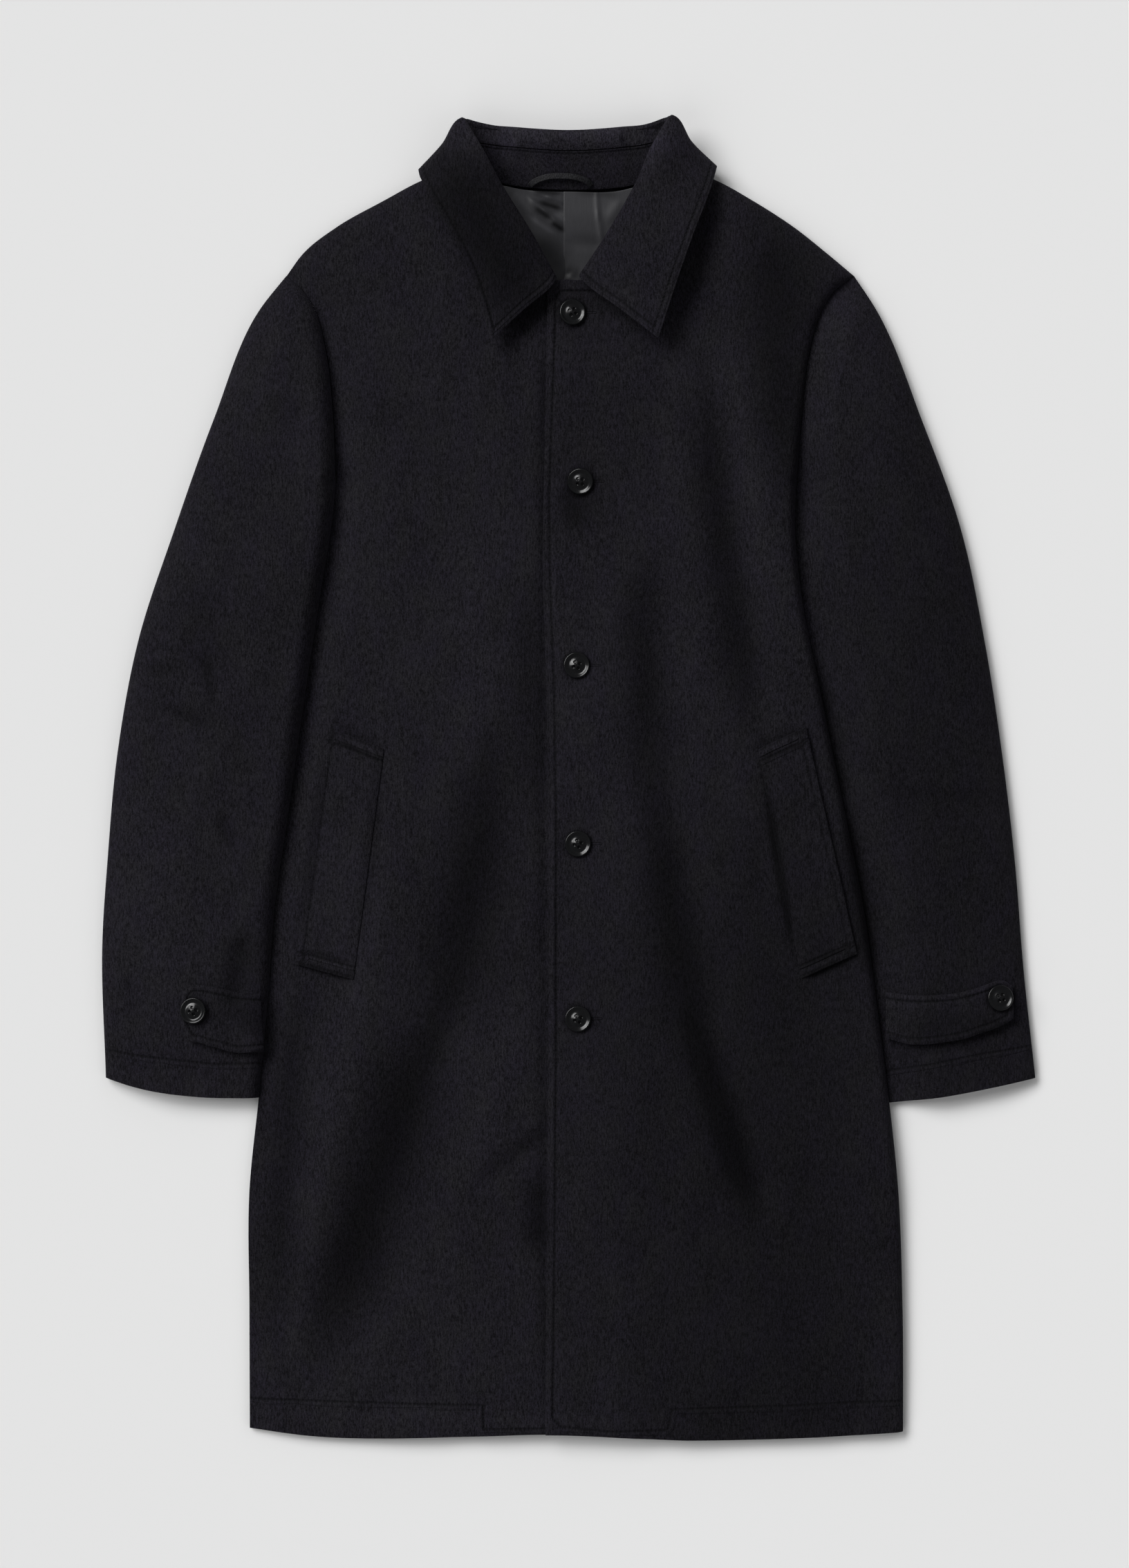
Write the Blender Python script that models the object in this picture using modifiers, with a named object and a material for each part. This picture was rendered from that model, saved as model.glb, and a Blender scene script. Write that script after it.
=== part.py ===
"""Single-breasted wool coat with a point collar, laid out flat on its back.

Units are metres. +X is the viewer's right (the wearer's left), +Y runs from the hem to the
collar and +Z is up from the surface the coat lies on. Left and right in names are the wearer's.
"""
import math

import bpy
import numpy as np
from mathutils import Euler, Matrix, Vector

for leftover in list(bpy.data.objects):
    bpy.data.objects.remove(leftover, do_unlink=True)


def table(columns, *rows):
    """Rows of sizes as one array for each named column."""
    return dict(zip(columns.split(), np.array(rows, float).T))


# Cloth
WOOL_WALL = 0.0024
COLLAR_WALL = 0.0030
WELT_WALL = 0.0028
LINING_WALL = 0.0010
LOOP_WALL = 0.0014
SEAM_GAP = 0.0004
LAID_GAP = 0.0006
CREVICE = 0.0018

# Edges rolled over where a panel turns down to meet the one below it
SEAM_Z = 0.0044
SEAM_LIP = 0.0012
SIDE_ROLL = 0.016
SHOULDER_ROLL = 0.015
ARMHOLE_ROLL = 0.010
SLEEVE_HEAD_ROLL = 0.022
SLEEVE_OUTER_ROLL = 0.026
SLEEVE_INNER_ROLL = 0.032
BACK_TURN = 0.0030
ROLL_STEPS = 4
TURN_STEPS = 2
WELD_REACH = 0.00001
ARMHOLE_GAP = 0.0010

# How finely each piece is cut into rows and columns
FRONT_COLUMNS = 9
FRONT_ROWS_BELOW = 18
FRONT_ROWS_ABOVE = 7
SHOULDER_RUN = 0.5
ROW_CLEAR = 0.012
BACK_ROWS = 14
BACK_NECK_SHARE = 0.87
BACK_NECK_ROWS = 6
BACK_COLUMNS = 4
BACK_SHOULDER_SHARES = (0, 0.3, 0.5, 0.6, 0.7, 0.8, 1)
NECK_HALF = 0.0750
SLEEVE_COLUMNS = 4
SLEEVE_ROWS = 18
UNDER_COLUMNS = 4
UNDER_ROWS = 14
WELT_COLUMNS = 2
WELT_ROWS = 8
TAB_STEPS = 12
TAB_CROWDING = 1.6
TAB_COLUMNS = 3
LINING_COLUMNS = 8
LINING_ROWS = 8

# Outline of the body: x of each side at a height y, from the hem to the underarm
BODY_SIDE = table(
    "y right left",
    (-0.530, -0.2522, 0.2646),
    (-0.420, -0.2526, 0.2642),
    (-0.326, -0.2526, 0.2608),
    (-0.250, -0.2450, 0.2530),
    (-0.170, -0.2375, 0.2428),
    (-0.100, -0.2322, 0.2330),
    (-0.031, -0.2221, 0.2195),
    (0.065, -0.2086, 0.2000),
    (0.148, -0.1960, 0.1839),
    (0.200, -0.1876, 0.1790),
    (0.234, -0.1840, 0.1802),
)
# Armhole seams from the underarm to the shoulder point
ARMHOLE = table(
    "y right left",
    (0.234, -0.1840, 0.1802),
    (0.290, -0.1861, 0.1845),
    (0.340, -0.1920, 0.1908),
    (0.370, -0.2001, 0.2000),
    (0.384, -0.2085, 0.2085),
    (0.398, -0.2230, 0.2255),
)
# Shoulder seams from the shoulder point to the neck
SHOULDER = table(
    "right_x right_y left_x left_y",
    (-0.2230, 0.398, 0.2255, 0.398),
    (-0.2106, 0.415, 0.2052, 0.415),
    (-0.1828, 0.437, 0.1774, 0.437),
    (-0.1447, 0.458, 0.1442, 0.458),
    (-0.1174, 0.472, 0.1158, 0.473),
    (-0.0765, 0.486, 0.0750, 0.486),
)
HEM = table(
    "x y",
    (-0.2522, -0.5135),
    (-0.2030, -0.5195),
    (-0.0886, -0.5197),
    (-0.0150, -0.5175),
    (0.0967, -0.5222),
    (0.1948, -0.5200),
    (0.2646, -0.5160),
)
# Front edges and the neck: each front's neck edge from its front edge to the shoulder
LEFT_FRONT_EDGE = table(
    "y x",
    (-0.530, -0.0183),
    (0.069, -0.0177),
    (0.151, -0.0199),
    (0.260, -0.0188),
    (0.389, -0.0165),
)
RIGHT_FRONT_EDGE_X = 0.030
LEFT_NECK = table(
    "x y",
    (-0.0165, 0.3890),
    (-0.0095, 0.3925),
    (0.0115, 0.3932),
    (0.0340, 0.4245),
    (0.0590, 0.4650),
    (0.0750, 0.4860),
)
RIGHT_NECK = table(
    "x y",
    (0.0300, 0.3880),
    (0.0050, 0.3885),
    (-0.0165, 0.3900),
    (-0.0370, 0.4270),
    (-0.0625, 0.4670),
    (-0.0765, 0.4860),
)
BACK_NECK = table(
    "x y",
    (-0.0765, 0.4860),
    (-0.0690, 0.4745),
    (-0.0480, 0.4675),
    (0.0000, 0.4640),
    (0.0480, 0.4665),
    (0.0680, 0.4745),
    (0.0750, 0.4860),
)
UNDERARM_SHARE = 0.66
NECK_SHARE = 0.80

# Height of the laid body above the surface, and of each sleeve from cuff to shoulder
BODY_LOFT = table(
    "y height",
    (-0.530, 0.0110),
    (-0.450, 0.0135),
    (-0.300, 0.0170),
    (-0.100, 0.0190),
    (0.100, 0.0200),
    (0.250, 0.0200),
    (0.360, 0.0180),
    (0.440, 0.0165),
    (0.530, 0.0150),
)
SLEEVE_LOFT = table(
    "share height",
    (0.00, 0.0165),
    (0.10, 0.0180),
    (0.35, 0.0220),
    (0.65, 0.0240),
    (0.88, 0.0245),
    (1.00, 0.0225),
)
# Height of the armhole seam from the underarm to the shoulder point
ARMHOLE_LOFT = table(
    "share height",
    (0.00, 0.0060),
    (0.15, 0.0120),
    (0.35, 0.0150),
    (0.70, 0.0150),
    (0.88, 0.0115),
    (1.00, 0.0056),
)
OVERLAP_LIFT = 0.0034
OVERLAP_FLAT = 0.056
OVERLAP_FADE = 0.045
# The back is lifted at the neck, where the collar's back fall lies beneath it
NECK_RAISE = 0.0049
NECK_RAISE_Y = (0.396, 0.450)
NECK_RAISE_X = (0.108, 0.168)

# Largest soft folds: a line from (x0, y0) to (x1, y1), its half width and its height
BODY_FOLDS = table(
    "x0 y0 x1 y1 width height",
    (-0.040, -0.017, -0.190, -0.430, 0.034, -0.0032),
    (-0.110, 0.080, -0.215, -0.230, 0.040, 0.0016),
    (-0.045, -0.300, -0.135, -0.450, 0.030, 0.0018),
    (0.104, 0.205, 0.152, 0.038, 0.026, -0.0024),
    (0.150, 0.000, 0.105, -0.180, 0.030, -0.0020),
    (0.128, -0.290, 0.150, -0.330, 0.028, -0.0022),
    (0.190, -0.300, 0.205, -0.480, 0.030, 0.0016),
    (-0.140, 0.330, -0.120, 0.180, 0.034, -0.0016),
)
SLEEVE_FOLDS = table(
    "x0 y0 x1 y1 width height",
    (-0.316, 0.055, -0.280, 0.041, 0.010, -0.0030),
    (-0.262, -0.030, -0.270, -0.050, 0.014, -0.0024),
    (-0.258, -0.134, -0.262, -0.164, 0.012, -0.0026),
    (-0.238, 0.294, -0.212, 0.283, 0.013, -0.0022),
    (-0.345, 0.020, -0.335, -0.120, 0.020, 0.0014),
    (0.246, -0.009, 0.343, -0.020, 0.011, -0.0030),
    (0.262, 0.190, 0.290, 0.120, 0.022, -0.0018),
)

# Sleeves: outer edge from cuff to shoulder point and the cuff from outer to inner edge
SLEEVE_OUTER = table(
    "right_x right_y left_x left_y",
    (-0.3662, -0.2363, 0.3692, -0.2365),
    (-0.3690, -0.1300, 0.3600, -0.1520),
    (-0.3649, -0.0646, 0.3529, -0.0646),
    (-0.3567, 0.0226, 0.3425, 0.0226),
    (-0.3404, 0.1098, 0.3289, 0.1098),
    (-0.3120, 0.1970, 0.3104, 0.1970),
    (-0.2809, 0.2842, 0.2793, 0.2842),
    (-0.2439, 0.3714, 0.2428, 0.3714),
    (-0.2230, 0.3980, 0.2255, 0.3980),
)
SLEEVE_CUFF = table(
    "right_x right_y left_x left_y",
    (-0.3662, -0.2363, 0.3692, -0.2365),
    (-0.3453, -0.2428, 0.3365, -0.2433),
    (-0.2929, -0.2510, 0.2995, -0.2504),
    (-0.2462, -0.2520, 0.2542, -0.2562),
)

# Collar: neck seam, roll line and outer edge of the fall at stations around the neck, from the
# right front end over the back to the left front end; belly lifts the middle of the fall
COLLAR = table(
    "neck_x neck_y neck_z roll_x roll_y roll_z edge_x edge_y edge_z belly seam",
    (-0.0150, 0.3925, 0.0235, -0.0095, 0.3945, 0.0315, -0.0602, 0.3496, 0.0275, 0.0010, 0.42),
    (-0.0352, 0.4280, 0.0225, -0.0290, 0.4290, 0.0350, -0.0765, 0.3945, 0.0260, 0.0015, 0.50),
    (-0.0605, 0.4680, 0.0215, -0.0540, 0.4685, 0.0365, -0.0985, 0.4380, 0.0245, 0.0015, 0.50),
    (-0.0700, 0.4815, 0.0190, -0.0690, 0.4960, 0.0350, -0.1130, 0.4640, 0.0210, 0.0010, 0.50),
    (-0.0705, 0.4830, 0.0165, -0.0808, 0.5182, 0.0285, -0.1188, 0.4790, 0.0105, 0.0000, 0.55),
    (-0.0690, 0.4800, 0.0135, -0.0780, 0.5192, 0.0255, -0.1172, 0.4756, 0.0008, -0.0050, 0.62),
    (-0.0635, 0.4755, 0.0114, -0.0650, 0.5162, 0.0235, -0.0995, 0.4680, 0.0002, -0.0075, 0.68),
    (-0.0470, 0.4692, 0.0098, -0.0400, 0.5125, 0.0230, -0.0504, 0.4600, 0.0002, -0.0060, 0.72),
    (0.0000, 0.4654, 0.0094, 0.0000, 0.5104, 0.0230, 0.0000, 0.4575, 0.0002, -0.0050, 0.72),
    (0.0470, 0.4682, 0.0098, 0.0400, 0.5128, 0.0230, 0.0504, 0.4600, 0.0002, -0.0060, 0.72),
    (0.0625, 0.4755, 0.0114, 0.0630, 0.5180, 0.0235, 0.0975, 0.4690, 0.0002, -0.0075, 0.68),
    (0.0678, 0.4800, 0.0135, 0.0760, 0.5216, 0.0255, 0.1150, 0.4770, 0.0008, -0.0050, 0.62),
    (0.0692, 0.4830, 0.0165, 0.0788, 0.5206, 0.0285, 0.1165, 0.4805, 0.0105, 0.0000, 0.54),
    (0.0688, 0.4815, 0.0190, 0.0665, 0.4985, 0.0355, 0.1120, 0.4650, 0.0230, 0.0010, 0.50),
    (0.0572, 0.4660, 0.0225, 0.0520, 0.4660, 0.0385, 0.0985, 0.4290, 0.0290, 0.0020, 0.50),
    (0.0325, 0.4255, 0.0255, 0.0285, 0.4255, 0.0375, 0.0840, 0.3880, 0.0310, 0.0020, 0.50),
    (0.0115, 0.3960, 0.0260, 0.0080, 0.3945, 0.0345, 0.0695, 0.3502, 0.0295, 0.0010, 0.42),
)
COLLAR_ROLL_RADIUS = 0.0046
COLLAR_ROLL_TURN = math.radians(62)
SEAM_STRIP = 0.0008
COLLAR_SEAM_GAP = 0.0013
COLLAR_LENGTH_STEPS = 28
STAND_STEPS = 4
FALL_STEPS = 9

# Pocket welts: corners from the top inner one round to the bottom inner one
WELT = table(
    "right_x right_y left_x left_y",
    (-0.1452, 0.0235, 0.1491, 0.0232),
    (-0.1900, 0.0405, 0.1867, 0.0411),
    (-0.2155, -0.1465, 0.2275, -0.1380),
    (-0.1692, -0.1585, 0.1830, -0.1575),
)
# Cuff tabs: upper and lower edge from the sleeve's inner edge to the rounded end
TAB = table(
    "right_x right_top right_low left_x left_top left_low",
    (-0.2445, -0.1694, -0.2142, 0.2515, -0.1683, -0.2046),
    (-0.2604, -0.1686, -0.2154, 0.2750, -0.1706, -0.2090),
    (-0.2766, -0.1646, -0.2116, 0.3020, -0.1692, -0.2061),
    (-0.2900, -0.1622, -0.2076, 0.3256, -0.1632, -0.1995),
    (-0.2985, -0.1630, -0.2046, 0.3400, -0.1585, -0.1944),
    (-0.3045, -0.1690, -0.1930, 0.3495, -0.1635, -0.1890),
)
TAB_LIFT = 0.0010

# Buttons: place, tilt about X and Y in degrees and turn about the shank
BUTTON_NAMES = (
    "button_front_1",
    "button_front_2",
    "button_front_3",
    "button_front_4",
    "button_front_5",
    "button_cuff_right",
    "button_cuff_left",
)
BUTTONS = table(
    "x y tilt_x tilt_y turn",
    (0.0028, 0.3669, 0, 0, 20),
    (0.0093, 0.2341, 5, 0, 45),
    (0.0062, 0.0893, 0, 0, 0),
    (0.0072, -0.0510, 0, 0, 25),
    (0.0072, -0.1888, 0, 0, 70),
    (-0.2950, -0.1823, 0, 0, 45),
    (0.3395, -0.1725, 0, 4, 10),
)
BUTTON_PROFILE = table(
    "radius height",
    (0.0000, 0.0020),
    (0.0068, 0.0021),
    (0.0080, 0.0031),
    (0.0090, 0.0034),
    (0.0102, 0.0022),
    (0.0098, 0.0007),
    (0.0086, 0.0000),
    (0.0000, 0.0000),
)
BUTTON_GAP = 0.0004
BUTTON_SIDES = 16
BUTTON_HOLE_RADIUS = 0.0009
BUTTON_HOLE_REACH = 0.0031
BUTTON_HOLE_SIDES = 6

# Hanger loop: centre line from end to end, with its height
LOOP = table(
    "x y z",
    (-0.0310, 0.4680, 0.0122),
    (-0.0280, 0.4705, 0.0140),
    (-0.0202, 0.4738, 0.0162),
    (-0.0041, 0.4752, 0.0170),
    (0.0080, 0.4737, 0.0164),
    (0.0150, 0.4709, 0.0144),
    (0.0182, 0.4678, 0.0122),
)
LOOP_WIDTH = 0.0036
LOOP_STEPS = 16

# Lining: the two halves overlap at the pleat; columns are the x of each edge
LINING_TOP_DROP = 0.0030
LINING_GAP = 0.0011
LINING_LOW_Y = 0.372
LINING_HALF_WIDTH = 0.062
PLEAT_X = -0.0040
PLEAT_LAP = 0.010
LINING_WRINKLES = table(
    "x0 y0 x1 y1 width height",
    (-0.036, 0.452, -0.010, 0.436, 0.0060, 0.0016),
    (-0.030, 0.440, -0.008, 0.420, 0.0060, 0.0014),
    (0.022, 0.464, 0.021, 0.420, 0.0050, 0.0012),
)

PART_COLLECTION = bpy.data.collections.new("wool_coat")
CUTTER_COLLECTION = bpy.data.collections.new("wool_coat_cutters")
bpy.context.scene.collection.children.link(PART_COLLECTION)
bpy.context.scene.collection.children.link(CUTTER_COLLECTION)


def material(name, colour, roughness):
    """A Principled material of one colour."""
    made = bpy.data.materials.new(name)
    made.use_nodes = True
    shader = made.node_tree.nodes["Principled BSDF"]
    shader.inputs["Base Color"].default_value = (*colour, 1.0)
    shader.inputs["Roughness"].default_value = roughness
    shader.inputs["Metallic"].default_value = 0.0
    return made


WOOL = material("black_wool_velour", (0.012, 0.011, 0.014), 0.9)
SATIN = material("grey_satin_lining", (0.045, 0.045, 0.047), 0.42)
RESIN = material("black_button_resin", (0.006, 0.006, 0.007), 0.12)


def smooth(at, knots, values):
    """A curve through the values at the knots: a cubic between each two, of even slope."""
    slopes = np.gradient(values, knots)
    low = np.clip(np.searchsorted(knots, at) - 1, 0, len(knots) - 2)
    span = knots[low + 1] - knots[low]
    t = np.clip((at - knots[low]) / span, 0.0, 1.0)
    start = (2 * t ** 3 - 3 * t ** 2 + 1) * values[low] + (t ** 3 - 2 * t ** 2 + t) * span * slopes[low]
    stop = (3 * t ** 2 - 2 * t ** 3) * values[low + 1] + (t ** 3 - t ** 2) * span * slopes[low + 1]
    return start + stop


def along(points, share):
    """Points at the given shares of the length of a smooth curve through some points."""
    points = np.asarray(points, float)
    run = np.concatenate([[0.0], np.cumsum(np.linalg.norm(np.diff(points, axis=0), axis=1))])
    return np.stack([smooth(np.asarray(share) * run[-1], run, column) for column in points.T], axis=-1)


def ease(value, low, high):
    """A soft step from 0 at low to 1 at high."""
    t = np.clip((value - low) / (high - low), 0.0, 1.0)
    return t * t * (3 - 2 * t)


def columns(sizes, *names):
    """The named columns of a table as points."""
    return np.stack([sizes[name] for name in names], axis=-1)


def side_x(y, side):
    """Where the body's side fold is at a height y."""
    return smooth(y, BODY_SIDE["y"], BODY_SIDE[side])


def armhole_points(side):
    """The armhole seam's points from the underarm to the shoulder point."""
    return columns(ARMHOLE, side, "y")


def shoulder_points(side):
    """The shoulder seam's points from the shoulder point to the neck."""
    return columns(SHOULDER, side + "_x", side + "_y")


EDGE_SHARES = np.linspace(0, 1, 160)


def side_edge(side):
    """The body's side fold from the hem to the underarm, closely spaced."""
    y = np.linspace(BODY_SIDE["y"][0], BODY_SIDE["y"][-1], len(EDGE_SHARES))
    return np.stack([side_x(y, side), y], axis=-1)


def nearest(x, y, line):
    """Distance to a closely spaced line, and the share of the line at the nearest point."""
    flat = np.stack([np.ravel(x), np.ravel(y)], axis=-1)
    apart = np.linalg.norm(flat[:, None, :] - line[None, :, :], axis=2)
    best = apart.argmin(axis=1)
    reach = np.full(len(flat), np.inf)
    for step in (0, 1):
        first = np.clip(best - 1 + step, 0, len(line) - 2)
        start = line[first]
        run = line[first + 1] - start
        t = np.clip(((flat - start) * run).sum(1) / (run * run).sum(1), 0, 1)
        reach = np.minimum(reach, np.linalg.norm(flat - start - t[:, None] * run, axis=1))
    return reach.reshape(np.shape(x)), EDGE_SHARES[best].reshape(np.shape(x))


def roll(distance, radius):
    """The height share of a quarter-round edge at a distance in from it."""
    t = np.clip(distance / radius, 0.0, 1.0)
    return np.sqrt(np.clip(1 - (1 - t) ** 2, 0.0, 1.0))


def folds(x, y, sizes):
    """Height of the soft folds: each is a bell across its line, fading out past its ends."""
    total = np.zeros(np.shape(x))
    for x0, y0, x1, y1, width, height in zip(*sizes.values()):
        run = np.array([x1 - x0, y1 - y0])
        t = np.clip(((x - x0) * run[0] + (y - y0) * run[1]) / (run @ run), 0, 1)
        away = np.hypot(x - x0 - t * run[0], y - y0 - t * run[1])
        total = total + height * np.exp(-(away / width) ** 2)
    return total


def neck_raise(x, y):
    """How far the back is lifted over the collar's back fall."""
    across = 1 - ease(np.abs(x), *NECK_RAISE_X)
    return NECK_RAISE * ease(y, *NECK_RAISE_Y) * across


def body_top(x, y):
    """Height of the fronts' face above the surface: the loft and folds, rolled down at the edges."""
    z = smooth(y, BODY_LOFT["y"], BODY_LOFT["height"]) + folds(x, y, BODY_FOLDS)
    edge_z = SEAM_Z + SEAM_LIP
    for side in ("right", "left"):
        away, share = nearest(x, y, along(armhole_points(side), EDGE_SHARES))
        seam = smooth(share, ARMHOLE_LOFT["share"], ARMHOLE_LOFT["height"])
        z = seam + (z - seam) * roll(away, ARMHOLE_ROLL)
        away, share = nearest(x, y, side_edge(side))
        z = edge_z + (z - edge_z) * roll(away, SIDE_ROLL)
        away, share = nearest(x, y, along(shoulder_points(side), EDGE_SHARES))
        low = edge_z + neck_raise(x, y)
        z = low + (z - low) * roll(away, SHOULDER_ROLL)
    return z


def left_front_top(x, y):
    """Height of the left front's face, lifted where it lies on the right front."""
    edge = smooth(y, LEFT_FRONT_EDGE["y"], LEFT_FRONT_EDGE["x"])
    lap = 1 - ease(x, edge + OVERLAP_FLAT, edge + OVERLAP_FLAT + OVERLAP_FADE)
    return body_top(x, y) + OVERLAP_LIFT * lap


def sleeve_inner(side):
    """The sleeve's inner edge from the cuff to the underarm, beside the body's side fold."""
    out = -CREVICE if side == "right" else CREVICE
    cuff = columns(SLEEVE_CUFF, side + "_x", side + "_y")[-1]
    y = np.linspace(cuff[1], BODY_SIDE["y"][-1], len(EDGE_SHARES))
    return np.stack([side_x(y, side) + out, y], axis=-1)


def sleeve_top(x, y, side):
    """Height of an upper sleeve's face: its loft and folds, rolled down at both edges."""
    outer = along(columns(SLEEVE_OUTER, side + "_x", side + "_y"), EDGE_SHARES)
    from_outer, share = nearest(x, y, outer)
    z = smooth(share, SLEEVE_LOFT["share"], SLEEVE_LOFT["height"]) + folds(x, y, SLEEVE_FOLDS)
    edge_z = SEAM_Z + SEAM_LIP
    arm = along(armhole_points(side), EDGE_SHARES)
    from_arm, arm_share = nearest(x, y, arm)
    seam = smooth(arm_share, ARMHOLE_LOFT["share"], ARMHOLE_LOFT["height"])
    z = seam + (z - seam) * roll(from_arm, SLEEVE_HEAD_ROLL)
    from_inner, share = nearest(x, y, sleeve_inner(side))
    z = edge_z + (z - edge_z) * roll(from_inner, SLEEVE_INNER_ROLL)
    return edge_z + (z - edge_z) * roll(from_outer, SLEEVE_OUTER_ROLL)


def coons(bottom, top, start, stop, u, v):
    """Points of a patch between four edge curves; u and v are grids of shares along them."""
    low, high = bottom(u), top(u)
    near, far = start(v), stop(v)
    uu, vv = u[..., None], v[..., None]
    ruled = (1 - vv) * low + vv * high + (1 - uu) * near + uu * far
    zero, one = np.zeros(1), np.ones(1)
    corners = (1 - uu) * (1 - vv) * bottom(zero)[0] + uu * (1 - vv) * bottom(one)[0]
    corners = corners + (1 - uu) * vv * top(zero)[0] + uu * vv * top(one)[0]
    return ruled - corners


def edge_steps(radius, length):
    """Shares at which a quarter-round edge of this radius is cut, from its edge inwards."""
    angle = np.linspace(0, math.pi / 2, ROLL_STEPS + 1)
    return (1 - np.cos(angle)) * radius / length


def lip(grid, axis, last, drop):
    """The grid with one more row past an edge, straight up or down from it."""
    edge = np.take(grid, [-1 if last else 0], axis=axis).copy()
    edge[..., 2] += drop
    return np.concatenate([grid, edge] if last else [edge, grid], axis=axis)


def close_corner(grid, row, column):
    """Joins the three points of a corner where two lips meet."""
    inner_row = 1 if row == 0 else -2
    grid[row, column] = grid[inner_row, column]
    inner_column = 1 if column == 0 else -2
    grid[row, inner_column] = grid[inner_row, column]
    return grid


def shell(name, grid, wall, cloth, flip=False):
    """A cloth piece: the grid is its face and the wall lies behind it."""
    rows, cols = grid.shape[:2]
    index = np.arange(rows * cols).reshape(rows, cols)
    corners = (index[:-1, :-1], index[:-1, 1:], index[1:, 1:], index[1:, :-1])
    quads = np.stack(corners, axis=-1).reshape(-1, 4)
    if flip:
        quads = quads[:, ::-1]
    mesh = bpy.data.meshes.new(name)
    mesh.from_pydata(grid.reshape(-1, 3).tolist(), [], quads.tolist())
    piece = bpy.data.objects.new(name, mesh)
    PART_COLLECTION.objects.link(piece)
    mesh.materials.append(cloth)
    weld = piece.modifiers.new("corner_weld", "WELD")
    weld.merge_threshold = WELD_REACH
    thick = piece.modifiers.new("cloth_wall", "SOLIDIFY")
    thick.thickness = wall
    thick.offset = -1.0
    thick.use_even_offset = True
    thick.use_quality_normals = True
    return piece


def hem_curve(low_x, high_x):
    """The hem between two x, as a function of the share across it."""
    def curve(share):
        x = low_x + (high_x - low_x) * share
        return np.stack([x, smooth(x, HEM["x"], HEM["y"])], axis=-1)
    return curve


def body_side_curve(side):
    """The body's outer edge from the hem over the underarm to the shoulder point."""
    corner_y = HEM["y"][0] if side == "right" else HEM["y"][-1]

    def curve(share):
        low = np.clip(share / UNDERARM_SHARE, 0, 1)
        y = corner_y + (BODY_SIDE["y"][-1] - corner_y) * low
        below = np.stack([side_x(y, side), y], axis=-1)
        high = np.clip((share - UNDERARM_SHARE) / (1 - UNDERARM_SHARE), 0, 1)
        above = along(armhole_points(side), high)
        return np.where((share <= UNDERARM_SHARE)[..., None], below, above)
    return curve


def front_edge_curve(edge_x, neck):
    """A front's inner edge from the hem up to the neck and round to the shoulder."""
    foot_x = edge_x(HEM["y"][:1])[0]
    foot_y = smooth(np.array([foot_x]), HEM["x"], HEM["y"])[0]

    def curve(share):
        low = np.clip(share / NECK_SHARE, 0, 1)
        y = foot_y + (neck[0, 1] - foot_y) * low
        x = edge_x(y)
        x = x + (foot_x - edge_x(np.array([foot_y]))) * (1 - low)
        x = x + (neck[0, 0] - edge_x(neck[:1, 1])) * low
        below = np.stack([x, y], axis=-1)
        high = np.clip((share - NECK_SHARE) / (1 - NECK_SHARE), 0, 1)
        return np.where((share <= NECK_SHARE)[..., None], below, along(neck, high))
    return curve


def front_grid(side, edge_x, neck, height):
    """A front from its side fold to its front edge, with rounded side and shoulder edges."""
    outer = body_side_curve(side)
    inner = front_edge_curve(edge_x, neck)
    bottom = hem_curve(outer(np.zeros(1))[0, 0], inner(np.zeros(1))[0, 0])
    shoulder = shoulder_points(side)
    below = np.linspace(0, NECK_SHARE, FRONT_ROWS_BELOW + 1)
    above = np.linspace(NECK_SHARE, 1, FRONT_ROWS_ABOVE + 1)[1:]
    last = 1 - edge_steps(SHOULDER_ROLL, SHOULDER_RUN)[::-1]
    rows = np.concatenate([below, above[above < last[0] - ROW_CLEAR], last])
    lengths = np.linalg.norm(outer(rows) - inner(rows), axis=1)
    rim = np.stack([edge_steps(SIDE_ROLL, length) for length in lengths])
    rest = np.linspace(0, 1, FRONT_COLUMNS + 1)[1:]
    u = np.concatenate([rim, rim[:, -1:] + (1 - rim[:, -1:]) * rest], axis=1)
    v = np.repeat(rows[:, None], u.shape[1], axis=1)
    flat = coons(bottom, lambda share: along(shoulder, share), outer, inner, u, v)
    x, y = flat[..., 0], flat[..., 1]
    grid = np.stack([x, y, height(x, y)], axis=-1)
    grid = lip(grid, 1, False, -SEAM_LIP)
    grid = lip(grid, 0, True, -SEAM_LIP)
    return close_corner(grid, -1, 0)


def left_edge_x(y):
    """Where the left front's edge is at a height y."""
    return smooth(y, LEFT_FRONT_EDGE["y"], LEFT_FRONT_EDGE["x"])


def right_edge_x(y):
    """Where the right front's hidden edge is at a height y."""
    return np.full(np.shape(y), RIGHT_FRONT_EDGE_X)


def turn_up(grid, axis, last, amount):
    """The grid with its edge turned up: drawn in by the turn's radius, then round and upright."""
    work = np.moveaxis(grid, axis, 0)
    work = work[::-1].copy() if last else work.copy()
    out = work[0] - work[1]
    out[..., 2] = 0.0
    out = out / np.linalg.norm(out, axis=-1, keepdims=True)
    rim = work[0].copy()
    work[0] = rim - out * BACK_TURN
    lift = np.zeros(rim.shape)
    lift[..., 2] = amount
    rows = []
    for angle in np.linspace(0, math.pi / 2, TURN_STEPS + 1)[1:]:
        rows.append(work[0] + out * BACK_TURN * math.sin(angle) + lift * BACK_TURN * (1 - math.cos(angle)))
    rows.append(rim + lift * (SEAM_Z - SEAM_GAP))
    work = np.concatenate([np.stack(rows[::-1]), work])
    work = work[::-1] if last else work
    return np.moveaxis(work, 0, axis)


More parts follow.
